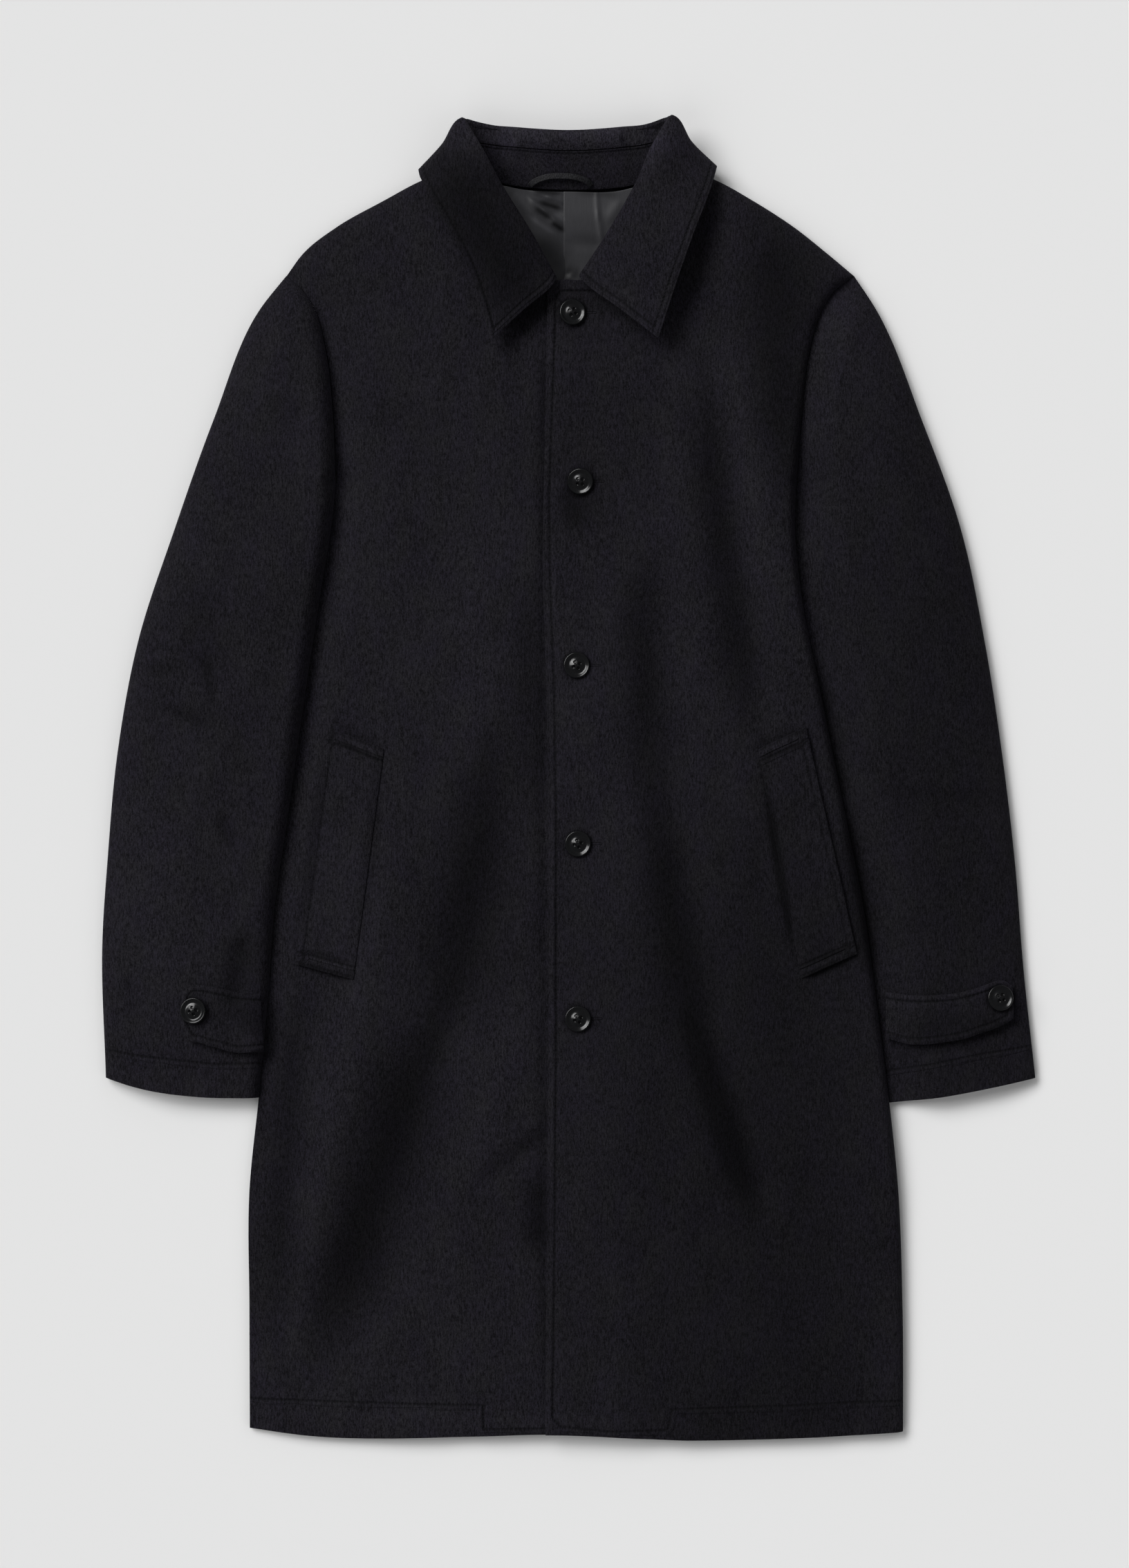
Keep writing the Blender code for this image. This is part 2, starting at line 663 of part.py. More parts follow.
def back_top_curve(share):
    """The back's upper edge: right shoulder, neck, left shoulder, a third of the share each."""
    right = along(shoulder_points("right"), np.clip(share * 3, 0, 1))
    neck = along(columns(BACK_NECK, "x", "y"), np.clip(share * 3 - 1, 0, 1))
    left = along(shoulder_points("left")[::-1], np.clip(share * 3 - 2, 0, 1))
    third = share[..., None] * 3
    return np.where(third < 1, right, np.where(third < 2, neck, left))


def back_grid():
    """The back, flat on the surface, its side and shoulder edges turned up to the fronts."""
    right, left = body_side_curve("right"), body_side_curve("left")
    bottom = hem_curve(right(np.zeros(1))[0, 0], left(np.zeros(1))[0, 0])
    rows = np.linspace(0, BACK_NECK_SHARE, BACK_ROWS + 1)
    rows = np.concatenate([rows, np.linspace(BACK_NECK_SHARE, 1, BACK_NECK_ROWS + 1)[1:]])
    shoulder = np.array(BACK_SHOULDER_SHARES) / 3
    neck = np.linspace(1 / 3, 2 / 3, BACK_COLUMNS + 1)[1:-1]
    cols = np.concatenate([shoulder, neck, 1 - shoulder[::-1]])
    u, v = np.meshgrid(cols, rows)
    flat = coons(bottom, back_top_curve, right, left, u, v)
    x, y = flat[..., 0], flat[..., 1]
    grid = np.stack([x, y, neck_raise(x, y)], axis=-1)
    below = 1 - ease(rows, UNDERARM_SHARE - ROW_CLEAR, UNDERARM_SHARE + ROW_CLEAR)
    grid = turn_up(grid, 1, False, below)
    grid = turn_up(grid, 1, True, below)
    x = grid[-1, :, 0]
    beyond = np.abs(x) - NECK_HALF
    return turn_up(grid, 0, True, ease(beyond, -SEAM_LIP, SEAM_LIP))


def sleeve_patch(side, outer_steps, inner_steps, columns_between, rows):
    """Plan of a sleeve between its outer edge, inner edge, cuff and armhole."""
    out = -1.0 if side == "right" else 1.0
    inner_line = sleeve_inner(side)
    arm = armhole_points(side)[::-1]

    def outer(share):
        points = along(columns(SLEEVE_OUTER, side + "_x", side + "_y"), share)
        points[..., 0] += out * ARMHOLE_GAP * ease(share, 0.8, 1.0)
        return points

    def inner(share):
        return along(inner_line, share)

    def cuff(share):
        return along(columns(SLEEVE_CUFF, side + "_x", side + "_y"), share)

    def armhole(share):
        points = along(arm, share)
        points[..., 0] += out * (ARMHOLE_GAP + (CREVICE - ARMHOLE_GAP) * ease(share, 0.8, 1.0))
        return points

    v_rows = np.linspace(0, 1, rows + 1)
    lengths = np.linalg.norm(outer(v_rows) - inner(v_rows), axis=1)
    first = np.stack([outer_steps / length for length in lengths])
    last = 1 - np.stack([inner_steps / length for length in lengths])[:, ::-1]
    between = np.linspace(0, 1, columns_between + 1)[1:-1]
    middle = first[:, -1:] + (last[:, :1] - first[:, -1:]) * between
    u = np.concatenate([first, middle, last], axis=1)
    v = np.repeat(v_rows[:, None], u.shape[1], axis=1)
    return coons(cuff, armhole, outer, inner, u, v), v


def sleeve_upper_grid(side):
    """An upper sleeve, rounded down at both edges and at the armhole."""
    flat, v = sleeve_patch(
        side,
        edge_steps(SLEEVE_OUTER_ROLL, 1.0),
        edge_steps(SLEEVE_INNER_ROLL, 1.0),
        SLEEVE_COLUMNS,
        SLEEVE_ROWS,
    )
    x, y = flat[..., 0], flat[..., 1]
    grid = np.stack([x, y, sleeve_top(x, y, side)], axis=-1)
    grid = lip(grid, 1, False, -SEAM_LIP)
    return lip(grid, 1, True, -SEAM_LIP)


def sleeve_under_grid(side):
    """An under sleeve, flat on the surface, its edges turned up to the upper sleeve."""
    steps = np.zeros(1)
    flat, v = sleeve_patch(side, steps, steps, UNDER_COLUMNS, UNDER_ROWS)
    grid = np.concatenate([flat, np.zeros(flat.shape[:2] + (1,))], axis=-1)
    upright = np.ones(len(grid))
    grid = turn_up(grid, 1, False, upright)
    return turn_up(grid, 1, True, upright)


def collar_stations(count):
    """Neck, roll and edge points and the belly at even steps around the collar."""
    roll_line = columns(COLLAR, "roll_x", "roll_y", "roll_z")
    edge_line = columns(COLLAR, "edge_x", "edge_y", "edge_z")
    step = np.linalg.norm(np.diff(roll_line, axis=0), axis=1)
    step = step + np.linalg.norm(np.diff(edge_line, axis=0), axis=1)
    run = np.concatenate([[0.0], np.cumsum(step)])
    at = np.unique(np.concatenate([np.linspace(0, run[-1], count + 1), run]))
    keep = np.concatenate([[True], np.diff(at) > run[-1] / count * 0.3])
    at = at[keep]
    at[-1] = run[-1]
    return {name: smooth(at, run, values) for name, values in COLLAR.items()}


def collar_section(neck, roll_top, edge, belly, seam_share, split):
    """One section of the collar, from the neck up to the roll and down to the outer edge.

    The roll is an arc of COLLAR_ROLL_RADIUS whose outermost point is the roll line. The seam
    between stand and fall is at a share of the way from the neck to the roll.
    """
    to_neck = (neck - roll_top) / np.linalg.norm(neck - roll_top)
    to_edge = (edge - roll_top) / np.linalg.norm(edge - roll_top)
    inward = (to_neck + to_edge) / np.linalg.norm(to_neck + to_edge)
    across = to_neck - (to_neck @ inward) * inward
    across = across / np.linalg.norm(across)
    centre = roll_top + COLLAR_ROLL_RADIUS * inward
    reach = COLLAR_ROLL_RADIUS * math.cos(COLLAR_ROLL_TURN)
    spread = COLLAR_ROLL_RADIUS * math.sin(COLLAR_ROLL_TURN)
    arc_in = centre - reach * inward + spread * across
    arc_out = centre - reach * inward - spread * across
    belly_point = (arc_out + edge) / 2 + np.array([0.0, 0.0, belly])
    points = np.stack([neck, (neck + arc_in) / 2, arc_in, roll_top, arc_out, belly_point, edge])
    run = np.concatenate([[0.0], np.cumsum(np.linalg.norm(np.diff(points, axis=0), axis=1))])
    seam = seam_share * run[3]
    if split == "stand":
        at = np.linspace(0, seam - COLLAR_SEAM_GAP - SEAM_STRIP, STAND_STEPS)
        at = np.append(at, seam - COLLAR_SEAM_GAP)
    else:
        rise = np.append(seam, np.linspace(seam + SEAM_STRIP, run[3], 3)[:-1])
        turn = np.linspace(run[3], run[4], 3)[:-1]
        drop = np.linspace(run[4], run[6], FALL_STEPS - 3)
        at = np.concatenate([rise, turn, drop])
    made = np.stack([smooth(at, run, points[:, k]) for k in range(3)], axis=-1)
    made[:, 2] = np.maximum(made[:, 2], 0.0)
    return made


def collar_grid(split):
    """The collar's stand or fall as sections around the neck."""
    at = collar_stations(COLLAR_LENGTH_STEPS)
    sections = []
    for row in range(len(at["belly"])):
        neck, top, edge = (
            np.array([at[f"{place}_{axis}"][row] for axis in "xyz"]) for place in ("neck", "roll", "edge")
        )
        sections.append(collar_section(neck, top, edge, at["belly"][row], at["seam"][row], split))
    return np.stack(sections)


def laid_on(height, x, y, rise):
    """Points lifted off a panel's face along its normal."""
    step = 0.001
    z = height(x, y)
    slope_x = (height(x + step, y) - height(x - step, y)) / (2 * step)
    slope_y = (height(x, y + step) - height(x, y - step)) / (2 * step)
    normal = np.stack([-slope_x, -slope_y, np.ones(np.shape(x))], axis=-1)
    normal = normal / np.linalg.norm(normal, axis=-1, keepdims=True)
    return np.stack([x, y, z], axis=-1) + normal * np.asarray(rise)[..., None]


def welt_grid(side, height):
    """A pocket welt between its four corners, laid on the front."""
    corner = columns(WELT, side + "_x", side + "_y")
    across, down = np.meshgrid(np.linspace(0, 1, WELT_COLUMNS + 1), np.linspace(0, 1, WELT_ROWS + 1))
    a, d = across[..., None], down[..., None]
    top = corner[0] + (corner[1] - corner[0]) * a
    low = corner[3] + (corner[2] - corner[3]) * a
    flat = top + (low - top) * d
    return laid_on(height, flat[..., 0], flat[..., 1], np.full(across.shape, LAID_GAP + WELT_WALL))


def tab_grid(side):
    """A cuff tab laid on the upper sleeve, from the inner edge to its rounded end."""
    knots = np.arange(len(TAB[side + "_x"]), dtype=float)
    at = knots[-1] * np.linspace(0, 1, TAB_STEPS + 1) ** TAB_CROWDING
    x = smooth(at, knots, TAB[side + "_x"])
    top = smooth(at, knots, TAB[side + "_top"])
    low = smooth(at, knots, TAB[side + "_low"])
    share = np.linspace(0, 1, TAB_COLUMNS + 1)
    y = low[:, None] + (top - low)[:, None] * share
    x = np.repeat(x[:, None], len(share), axis=1)
    rise = LAID_GAP + WELT_WALL + TAB_LIFT * (1 - share)
    return laid_on(lambda px, py: sleeve_top(px, py, side), x, y, np.broadcast_to(rise, x.shape))


def tab_face(side):
    """Height of a cuff tab's face as a function of place."""
    return lambda x, y: sleeve_top(x, y, side) + LAID_GAP + WELT_WALL + TAB_LIFT / 2


def loop_grid():
    """The hanger loop: a narrow tape along its centre line."""
    share = np.linspace(0, 1, LOOP_STEPS + 1)
    line = along(columns(LOOP, "x", "y", "z"), share)
    run = np.gradient(line, axis=0)
    side = np.stack([-run[:, 1], run[:, 0], np.zeros(len(run))], axis=-1)
    side = side / np.linalg.norm(side, axis=1, keepdims=True) * LOOP_WIDTH / 2
    return np.stack([line - side, line + side], axis=1)


def lining_grid(low_x, high_x, rise):
    """Half of the back lining between two x, laid on the back, with its wrinkles."""
    x_line = np.linspace(low_x, high_x, LINING_COLUMNS + 1)
    share = np.linspace(0, 1, LINING_ROWS + 1)
    top = smooth(x_line, BACK_NECK["x"], BACK_NECK["y"]) - LINING_TOP_DROP
    y = LINING_LOW_Y + (top - LINING_LOW_Y)[None, :] * share[:, None]
    x = np.repeat(x_line[None, :], len(share), axis=0)
    z = neck_raise(x, y) + WOOL_WALL + LINING_GAP + LINING_WALL + rise + folds(x, y, LINING_WRINKLES)
    return np.stack([x, y, z], axis=-1)


def button_mesh():
    """A turned four-hole button with a raised rim, resting on its back."""
    profile = bpy.data.meshes.new("button_profile")
    points = [(r, 0.0, h) for r, h in zip(BUTTON_PROFILE["radius"], BUTTON_PROFILE["height"])]
    profile.from_pydata(points, [(k, k + 1) for k in range(len(points) - 1)], [])
    blank = bpy.data.objects.new("button_blank", profile)
    CUTTER_COLLECTION.objects.link(blank)
    blank.hide_render = True
    blank.display_type = "WIRE"
    turned = blank.modifiers.new("turned", "SCREW")
    turned.axis = "Z"
    turned.angle = 2 * math.pi
    turned.steps = BUTTON_SIDES
    turned.render_steps = BUTTON_SIDES
    turned.use_merge_vertices = True
    turned.merge_threshold = WELD_REACH
    turned.use_normal_calculate = True
    for hole in range(4):
        angle = math.pi / 4 + hole * math.pi / 2
        bpy.ops.mesh.primitive_cylinder_add(
            vertices=BUTTON_HOLE_SIDES,
            radius=BUTTON_HOLE_RADIUS,
            depth=BUTTON_PROFILE["height"].max() * 3,
            location=(BUTTON_HOLE_REACH * math.cos(angle), BUTTON_HOLE_REACH * math.sin(angle), 0.0),
        )
        drill = bpy.context.active_object
        drill.name = f"button_hole_{hole}"
        for holder in list(drill.users_collection):
            holder.objects.unlink(drill)
        CUTTER_COLLECTION.objects.link(drill)
        drill.hide_render = True
        drill.display_type = "WIRE"
        cut = blank.modifiers.new(f"hole_{hole}", "BOOLEAN")
        cut.operation = "DIFFERENCE"
        cut.object = drill
        cut.solver = "EXACT"
    bpy.context.view_layer.update()
    graph = bpy.context.evaluated_depsgraph_get()
    return bpy.data.meshes.new_from_object(blank.evaluated_get(graph))


right_front = front_grid("right", right_edge_x, columns(RIGHT_NECK, "x", "y"), body_top)
shell("front_right", right_front, WOOL_WALL, WOOL)
left_front = front_grid("left", left_edge_x, columns(LEFT_NECK, "x", "y"), left_front_top)
shell("front_left", left_front, WOOL_WALL, WOOL, flip=True)
shell("back", back_grid(), WOOL_WALL, WOOL, flip=True)
shell("sleeve_right_upper", sleeve_upper_grid("right"), WOOL_WALL, WOOL)
shell("sleeve_left_upper", sleeve_upper_grid("left"), WOOL_WALL, WOOL, flip=True)
shell("sleeve_right_under", sleeve_under_grid("right"), WOOL_WALL, WOOL, flip=True)
shell("sleeve_left_under", sleeve_under_grid("left"), WOOL_WALL, WOOL)
shell("collar_stand", collar_grid("stand"), COLLAR_WALL, WOOL, flip=True)
shell("collar_fall", collar_grid("fall"), COLLAR_WALL, WOOL, flip=True)
shell("pocket_welt_right", welt_grid("right", body_top), WELT_WALL, WOOL)
shell("pocket_welt_left", welt_grid("left", left_front_top), WELT_WALL, WOOL, flip=True)
shell("cuff_tab_right", tab_grid("right"), WELT_WALL, WOOL)
shell("cuff_tab_left", tab_grid("left"), WELT_WALL, WOOL, flip=True)
shell("hanger_loop", loop_grid(), LOOP_WALL, WOOL, flip=True)
right_lining = lining_grid(-LINING_HALF_WIDTH, PLEAT_X + PLEAT_LAP, 0.0)
shell("back_lining_right", right_lining, LINING_WALL, SATIN)
left_lining = lining_grid(PLEAT_X, LINING_HALF_WIDTH, LINING_WALL + LAID_GAP)
shell("back_lining_left", left_lining, LINING_WALL, SATIN)

button_body = button_mesh()
button_body.materials.clear()
button_body.materials.append(RESIN)
for row, button_name in enumerate(BUTTON_NAMES):
    x, y, tilt_x, tilt_y, turn = (values[row] for values in BUTTONS.values())
    button = bpy.data.objects.new(button_name, button_body)
    PART_COLLECTION.objects.link(button)
    place = np.array([x]), np.array([y])
    edge_drop = BUTTON_PROFILE["radius"].max() * math.sin(math.radians(abs(tilt_x) + abs(tilt_y)))
    rise = BUTTON_GAP + edge_drop
    face = left_front_top
    if "cuff" in button_name:
        face = tab_face(button_name.split("_")[-1])
    foot = laid_on(face, *place, np.array([rise]))[0]
    upright = Vector(laid_on(face, *place, np.array([1.0]))[0] - laid_on(face, *place, np.array([0.0]))[0])
    lean = upright.to_track_quat("Z", "Y").to_matrix().to_4x4()
    tilt = Euler((math.radians(tilt_x), math.radians(tilt_y), math.radians(turn))).to_matrix().to_4x4()
    button.matrix_world = Matrix.Translation(foot) @ lean @ tilt
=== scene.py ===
"""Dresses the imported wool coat: napped cloth shells, stitches, satin lining, buttons and stage.

Units are metres in the coat's own frame: +X is the viewer's right (the wearer's left), +Y runs
from the hem to the collar and +Z is up from the surface the coat lies on. Left and right in
names are the wearer's.
"""
import math

import bpy
import numpy as np
from bpy.props import FloatProperty, FloatVectorProperty, PointerProperty
from mathutils import Euler, Matrix, Vector


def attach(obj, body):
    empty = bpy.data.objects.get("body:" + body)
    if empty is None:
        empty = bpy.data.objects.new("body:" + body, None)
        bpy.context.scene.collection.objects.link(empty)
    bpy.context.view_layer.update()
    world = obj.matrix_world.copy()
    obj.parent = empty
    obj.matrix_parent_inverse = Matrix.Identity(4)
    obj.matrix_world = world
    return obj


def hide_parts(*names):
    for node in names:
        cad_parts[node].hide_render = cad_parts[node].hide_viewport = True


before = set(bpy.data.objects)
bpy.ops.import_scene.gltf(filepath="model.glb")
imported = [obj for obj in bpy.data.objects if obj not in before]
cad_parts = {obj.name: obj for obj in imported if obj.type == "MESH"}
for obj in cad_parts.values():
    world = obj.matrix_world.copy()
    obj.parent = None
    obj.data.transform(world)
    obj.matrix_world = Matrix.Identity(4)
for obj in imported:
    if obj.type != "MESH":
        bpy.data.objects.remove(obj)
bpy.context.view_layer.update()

bl_info = {
    "name": "Wool Coat",
    "version": (1, 0, 0),
    "blender": (4, 5, 0),
    "location": "View3D > Sidebar > Coat",
    "description": "Cloth, stitches, lining, buttons and stage of a wool coat laid out flat",
    "category": "Object",
}


def linear(hex_colour):
    """An sRGB hex colour as linear red, green and blue."""
    parts = np.array([int(hex_colour[k:k + 2], 16) for k in (1, 3, 5)]) / 255
    return tuple(np.where(parts <= 0.04045, parts / 12.92, ((parts + 0.055) / 1.055) ** 2.4))


def table(columns, *rows):
    """Rows of sizes as one array for each named column."""
    return dict(zip(columns.split(), np.array(rows, float).T))


def strokes(*rows):
    """Rows of strokes: a line from (x0, y0) to (x1, y1), its half width and its height or shade."""
    return table("x0 y0 x1 y1 width height", *rows)


# Outline of the body: x of each side at a height y, from the hem to the underarm
BODY_SIDE = table(
    "y right left",
    (-0.530, -0.2522, 0.2646),
    (-0.420, -0.2526, 0.2642),
    (-0.326, -0.2526, 0.2608),
    (-0.250, -0.2450, 0.2530),
    (-0.170, -0.2375, 0.2428),
    (-0.100, -0.2322, 0.2330),
    (-0.031, -0.2221, 0.2195),
    (0.065, -0.2086, 0.2000),
    (0.148, -0.1960, 0.1839),
    (0.200, -0.1876, 0.1790),
    (0.234, -0.1840, 0.1802),
)
# Armhole seams from the underarm to the shoulder point
ARMHOLE = table(
    "y right left",
    (0.234, -0.1840, 0.1802),
    (0.290, -0.1861, 0.1845),
    (0.340, -0.1920, 0.1908),
    (0.370, -0.2001, 0.2000),
    (0.384, -0.2085, 0.2085),
    (0.398, -0.2230, 0.2255),
)
# Shoulder seams from the shoulder point to the neck
SHOULDER = table(
    "right_x right_y left_x left_y",
    (-0.2230, 0.398, 0.2255, 0.398),
    (-0.2106, 0.415, 0.2052, 0.415),
    (-0.1828, 0.437, 0.1774, 0.437),
    (-0.1447, 0.458, 0.1442, 0.458),
    (-0.1174, 0.472, 0.1158, 0.473),
    (-0.0765, 0.486, 0.0750, 0.486),
)
HEM = table(
    "x y",
    (-0.2522, -0.5135),
    (-0.2030, -0.5195),
    (-0.0886, -0.5197),
    (-0.0150, -0.5175),
    (0.0967, -0.5222),
    (0.1948, -0.5200),
    (0.2646, -0.5160),
)
# Front edges and the neck: each front's neck edge from its front edge to the shoulder
LEFT_FRONT_EDGE = table(
    "y x",
    (-0.530, -0.0183),
    (0.069, -0.0177),
    (0.151, -0.0199),
    (0.260, -0.0188),
    (0.389, -0.0165),
)
RIGHT_FRONT_EDGE_X = 0.030
LEFT_NECK = table(
    "x y",
    (-0.0165, 0.3890),
    (-0.0095, 0.3925),
    (0.0115, 0.3932),
    (0.0340, 0.4245),
    (0.0590, 0.4650),
    (0.0750, 0.4860),
)
RIGHT_NECK = table(
    "x y",
    (0.0300, 0.3880),
    (0.0050, 0.3885),
    (-0.0165, 0.3900),
    (-0.0370, 0.4270),
    (-0.0625, 0.4670),
    (-0.0765, 0.4860),
)
BACK_NECK = table(
    "x y",
    (-0.0765, 0.4860),
    (-0.0690, 0.4745),
    (-0.0480, 0.4675),
    (0.0000, 0.4640),
    (0.0480, 0.4665),
    (0.0680, 0.4745),
    (0.0750, 0.4860),
)
# Shares of the rows up the body at which its side meets the underarm, and its front edge the neck
UNDERARM_SHARE = 0.66
NECK_SHARE = 0.80

# Height of the laid body above the surface, and of each sleeve from cuff to shoulder
BODY_LOFT = table(
    "y height",
    (-0.530, 0.0134),
    (-0.450, 0.0140),
    (-0.300, 0.0170),
    (-0.100, 0.0190),
    (0.100, 0.0200),
    (0.250, 0.0200),
    (0.360, 0.0180),
    (0.440, 0.0165),
    (0.530, 0.0150),
)
SLEEVE_LOFT = table(
    "share height",
    (0.00, 0.0165),
    (0.10, 0.0180),
    (0.35, 0.0220),
    (0.65, 0.0240),
    (0.88, 0.0245),
    (1.00, 0.0225),
)
# Height of the armhole seam from the underarm to the shoulder point
ARMHOLE_LOFT = table(
    "share height",
    (0.00, 0.0058),
    (0.15, 0.0080),
    (0.35, 0.0084),
    (0.70, 0.0084),
    (0.88, 0.0076),
    (1.00, 0.0056),
)
# The laid body is crowned: on each side this share of its height is lost at CROWN_REACH
BODY_CROWN = {"right": 0.38, "left": 0.12}
CROWN_REACH = 0.200
CROWN_MOST = 1.2
LEAST_LOFT = 0.0066
LOFT_EASE = 0.0020
OVERLAP_LIFT = 0.0034
OVERLAP_FLAT = 0.056
OVERLAP_FADE = 0.045
# The back is lifted at the neck, where the collar's back fall lies beneath it
NECK_RAISE = 0.0049
NECK_RAISE_Y = (0.396, 0.450)
NECK_RAISE_X = (0.108, 0.168)

# Edges rolled over where a panel turns down to meet the one below it
SEAM_Z = 0.0044
SEAM_LIP = 0.0012
SEAM_GAP = 0.0012
LAID_GAP = 0.0006
CREVICE = 0.0001
ARMHOLE_GAP = 0.0002
ARMHOLE_EASE = (0.8, 1.0)
SIDE_ROLL = {"right": 0.026, "left": 0.007}
SIDE_SOFT = {"right": True, "left": False}
SHOULDER_ROLL = 0.015
ARMHOLE_ROLL = {"right": 0.018, "left": 0.009}
SLEEVE_HEAD_ROLL = {"right": 0.014, "left": 0.030}
SLEEVE_OUTER_ROLL = 0.072
SLEEVE_INNER_ROLL = {"right": 0.013, "left": 0.040}
SLEEVE_INNER_SOFT = {"right": False, "left": True}
SLEEVE_OUTER_CUT = 0.026
BACK_TURN = 0.0030
# Length over which a face's slope is taken, and how near two points are joined into one
SLOPE_STEP = 0.001
WELD_REACH = 0.00001
MIDDLE_WELD_REACH = 0.000001
# Cut edges sharper than EDGE_ANGLE are rounded by this much, less on thin cloth
EDGE_ROUND = 0.0008
LOOP_EDGE_ROUND = 0.0005
LINING_EDGE_ROUND = 0.0003
EDGE_SEGMENTS = 2
EDGE_ANGLE = math.radians(50)

# Soft folds and creases
BODY_FOLDS = strokes(
    (-0.116, 0.047, -0.228, -0.503, 0.023, 0.0044),
    (-0.036, 0.069, -0.093, -0.236, 0.024, -0.0056),
    (-0.074, -0.138, -0.194, -0.503, 0.027, -0.0072),
    (-0.196, -0.095, -0.231, -0.498, 0.016, -0.0036),
    (-0.018, -0.127, -0.084, -0.340, 0.023, 0.0034),
    (-0.008, -0.272, -0.078, -0.326, 0.008, -0.0024),
    (-0.025, -0.310, -0.023, -0.381, 0.009, -0.0030),
    (-0.065, 0.216, -0.074, 0.004, 0.022, 0.0034),
    (-0.025, 0.194, -0.025, -0.073, 0.014, -0.0030),
    (0.081, 0.331, 0.124, 0.020, 0.017, 0.0030),
    (0.107, 0.369, 0.163, -0.018, 0.016, -0.0050),
    (0.131, 0.418, 0.177, 0.069, 0.019, 0.0030),
    (0.031, 0.183, 0.074, -0.220, 0.021, 0.0030),
    (0.067, 0.205, 0.089, -0.062, 0.020, -0.0048),
    (0.080, 0.009, 0.125, -0.244, 0.018, -0.0046),
    (0.105, -0.165, 0.165, -0.373, 0.016, -0.0050),
    (0.005, 0.238, 0.007, 0.192, 0.009, -0.0030),
    (-0.154, 0.292, -0.089, 0.260, 0.012, -0.0016),
    (-0.145, -0.444, -0.115, -0.465, 0.007, -0.0018),
    (-0.017, 0.396, -0.018, 0.069, 0.005, -0.0024),
    (-0.018, 0.178, -0.018, -0.204, 0.005, -0.0024),
    (-0.018, -0.095, -0.017, -0.541, 0.005, -0.0024),
)
SLEEVE_FOLDS = strokes(
    (-0.3196, 0.0570, -0.2728, 0.0384, 0.006, -0.0024),
    (-0.2869, 0.1044, -0.2760, 0.0493, 0.006, -0.0018),
    (-0.3447, 0.0831, -0.3022, 0.0880, 0.006, -0.0014),
    (-0.2760, -0.0210, -0.2586, -0.0619, 0.007, -0.0024),
    (-0.253, -0.114, -0.265, -0.187, 0.010, -0.0034),
    (-0.240, 0.299, -0.203, 0.279, 0.009, -0.0026),
    (-0.287, 0.156, -0.271, 0.058, 0.019, -0.0020),
    (0.218, -0.007, 0.371, -0.023, 0.007, -0.0016),
    (0.222, 0.292, 0.255, 0.189, 0.022, -0.0018),
    (0.280, -0.103, 0.256, -0.155, 0.014, -0.0018),
)
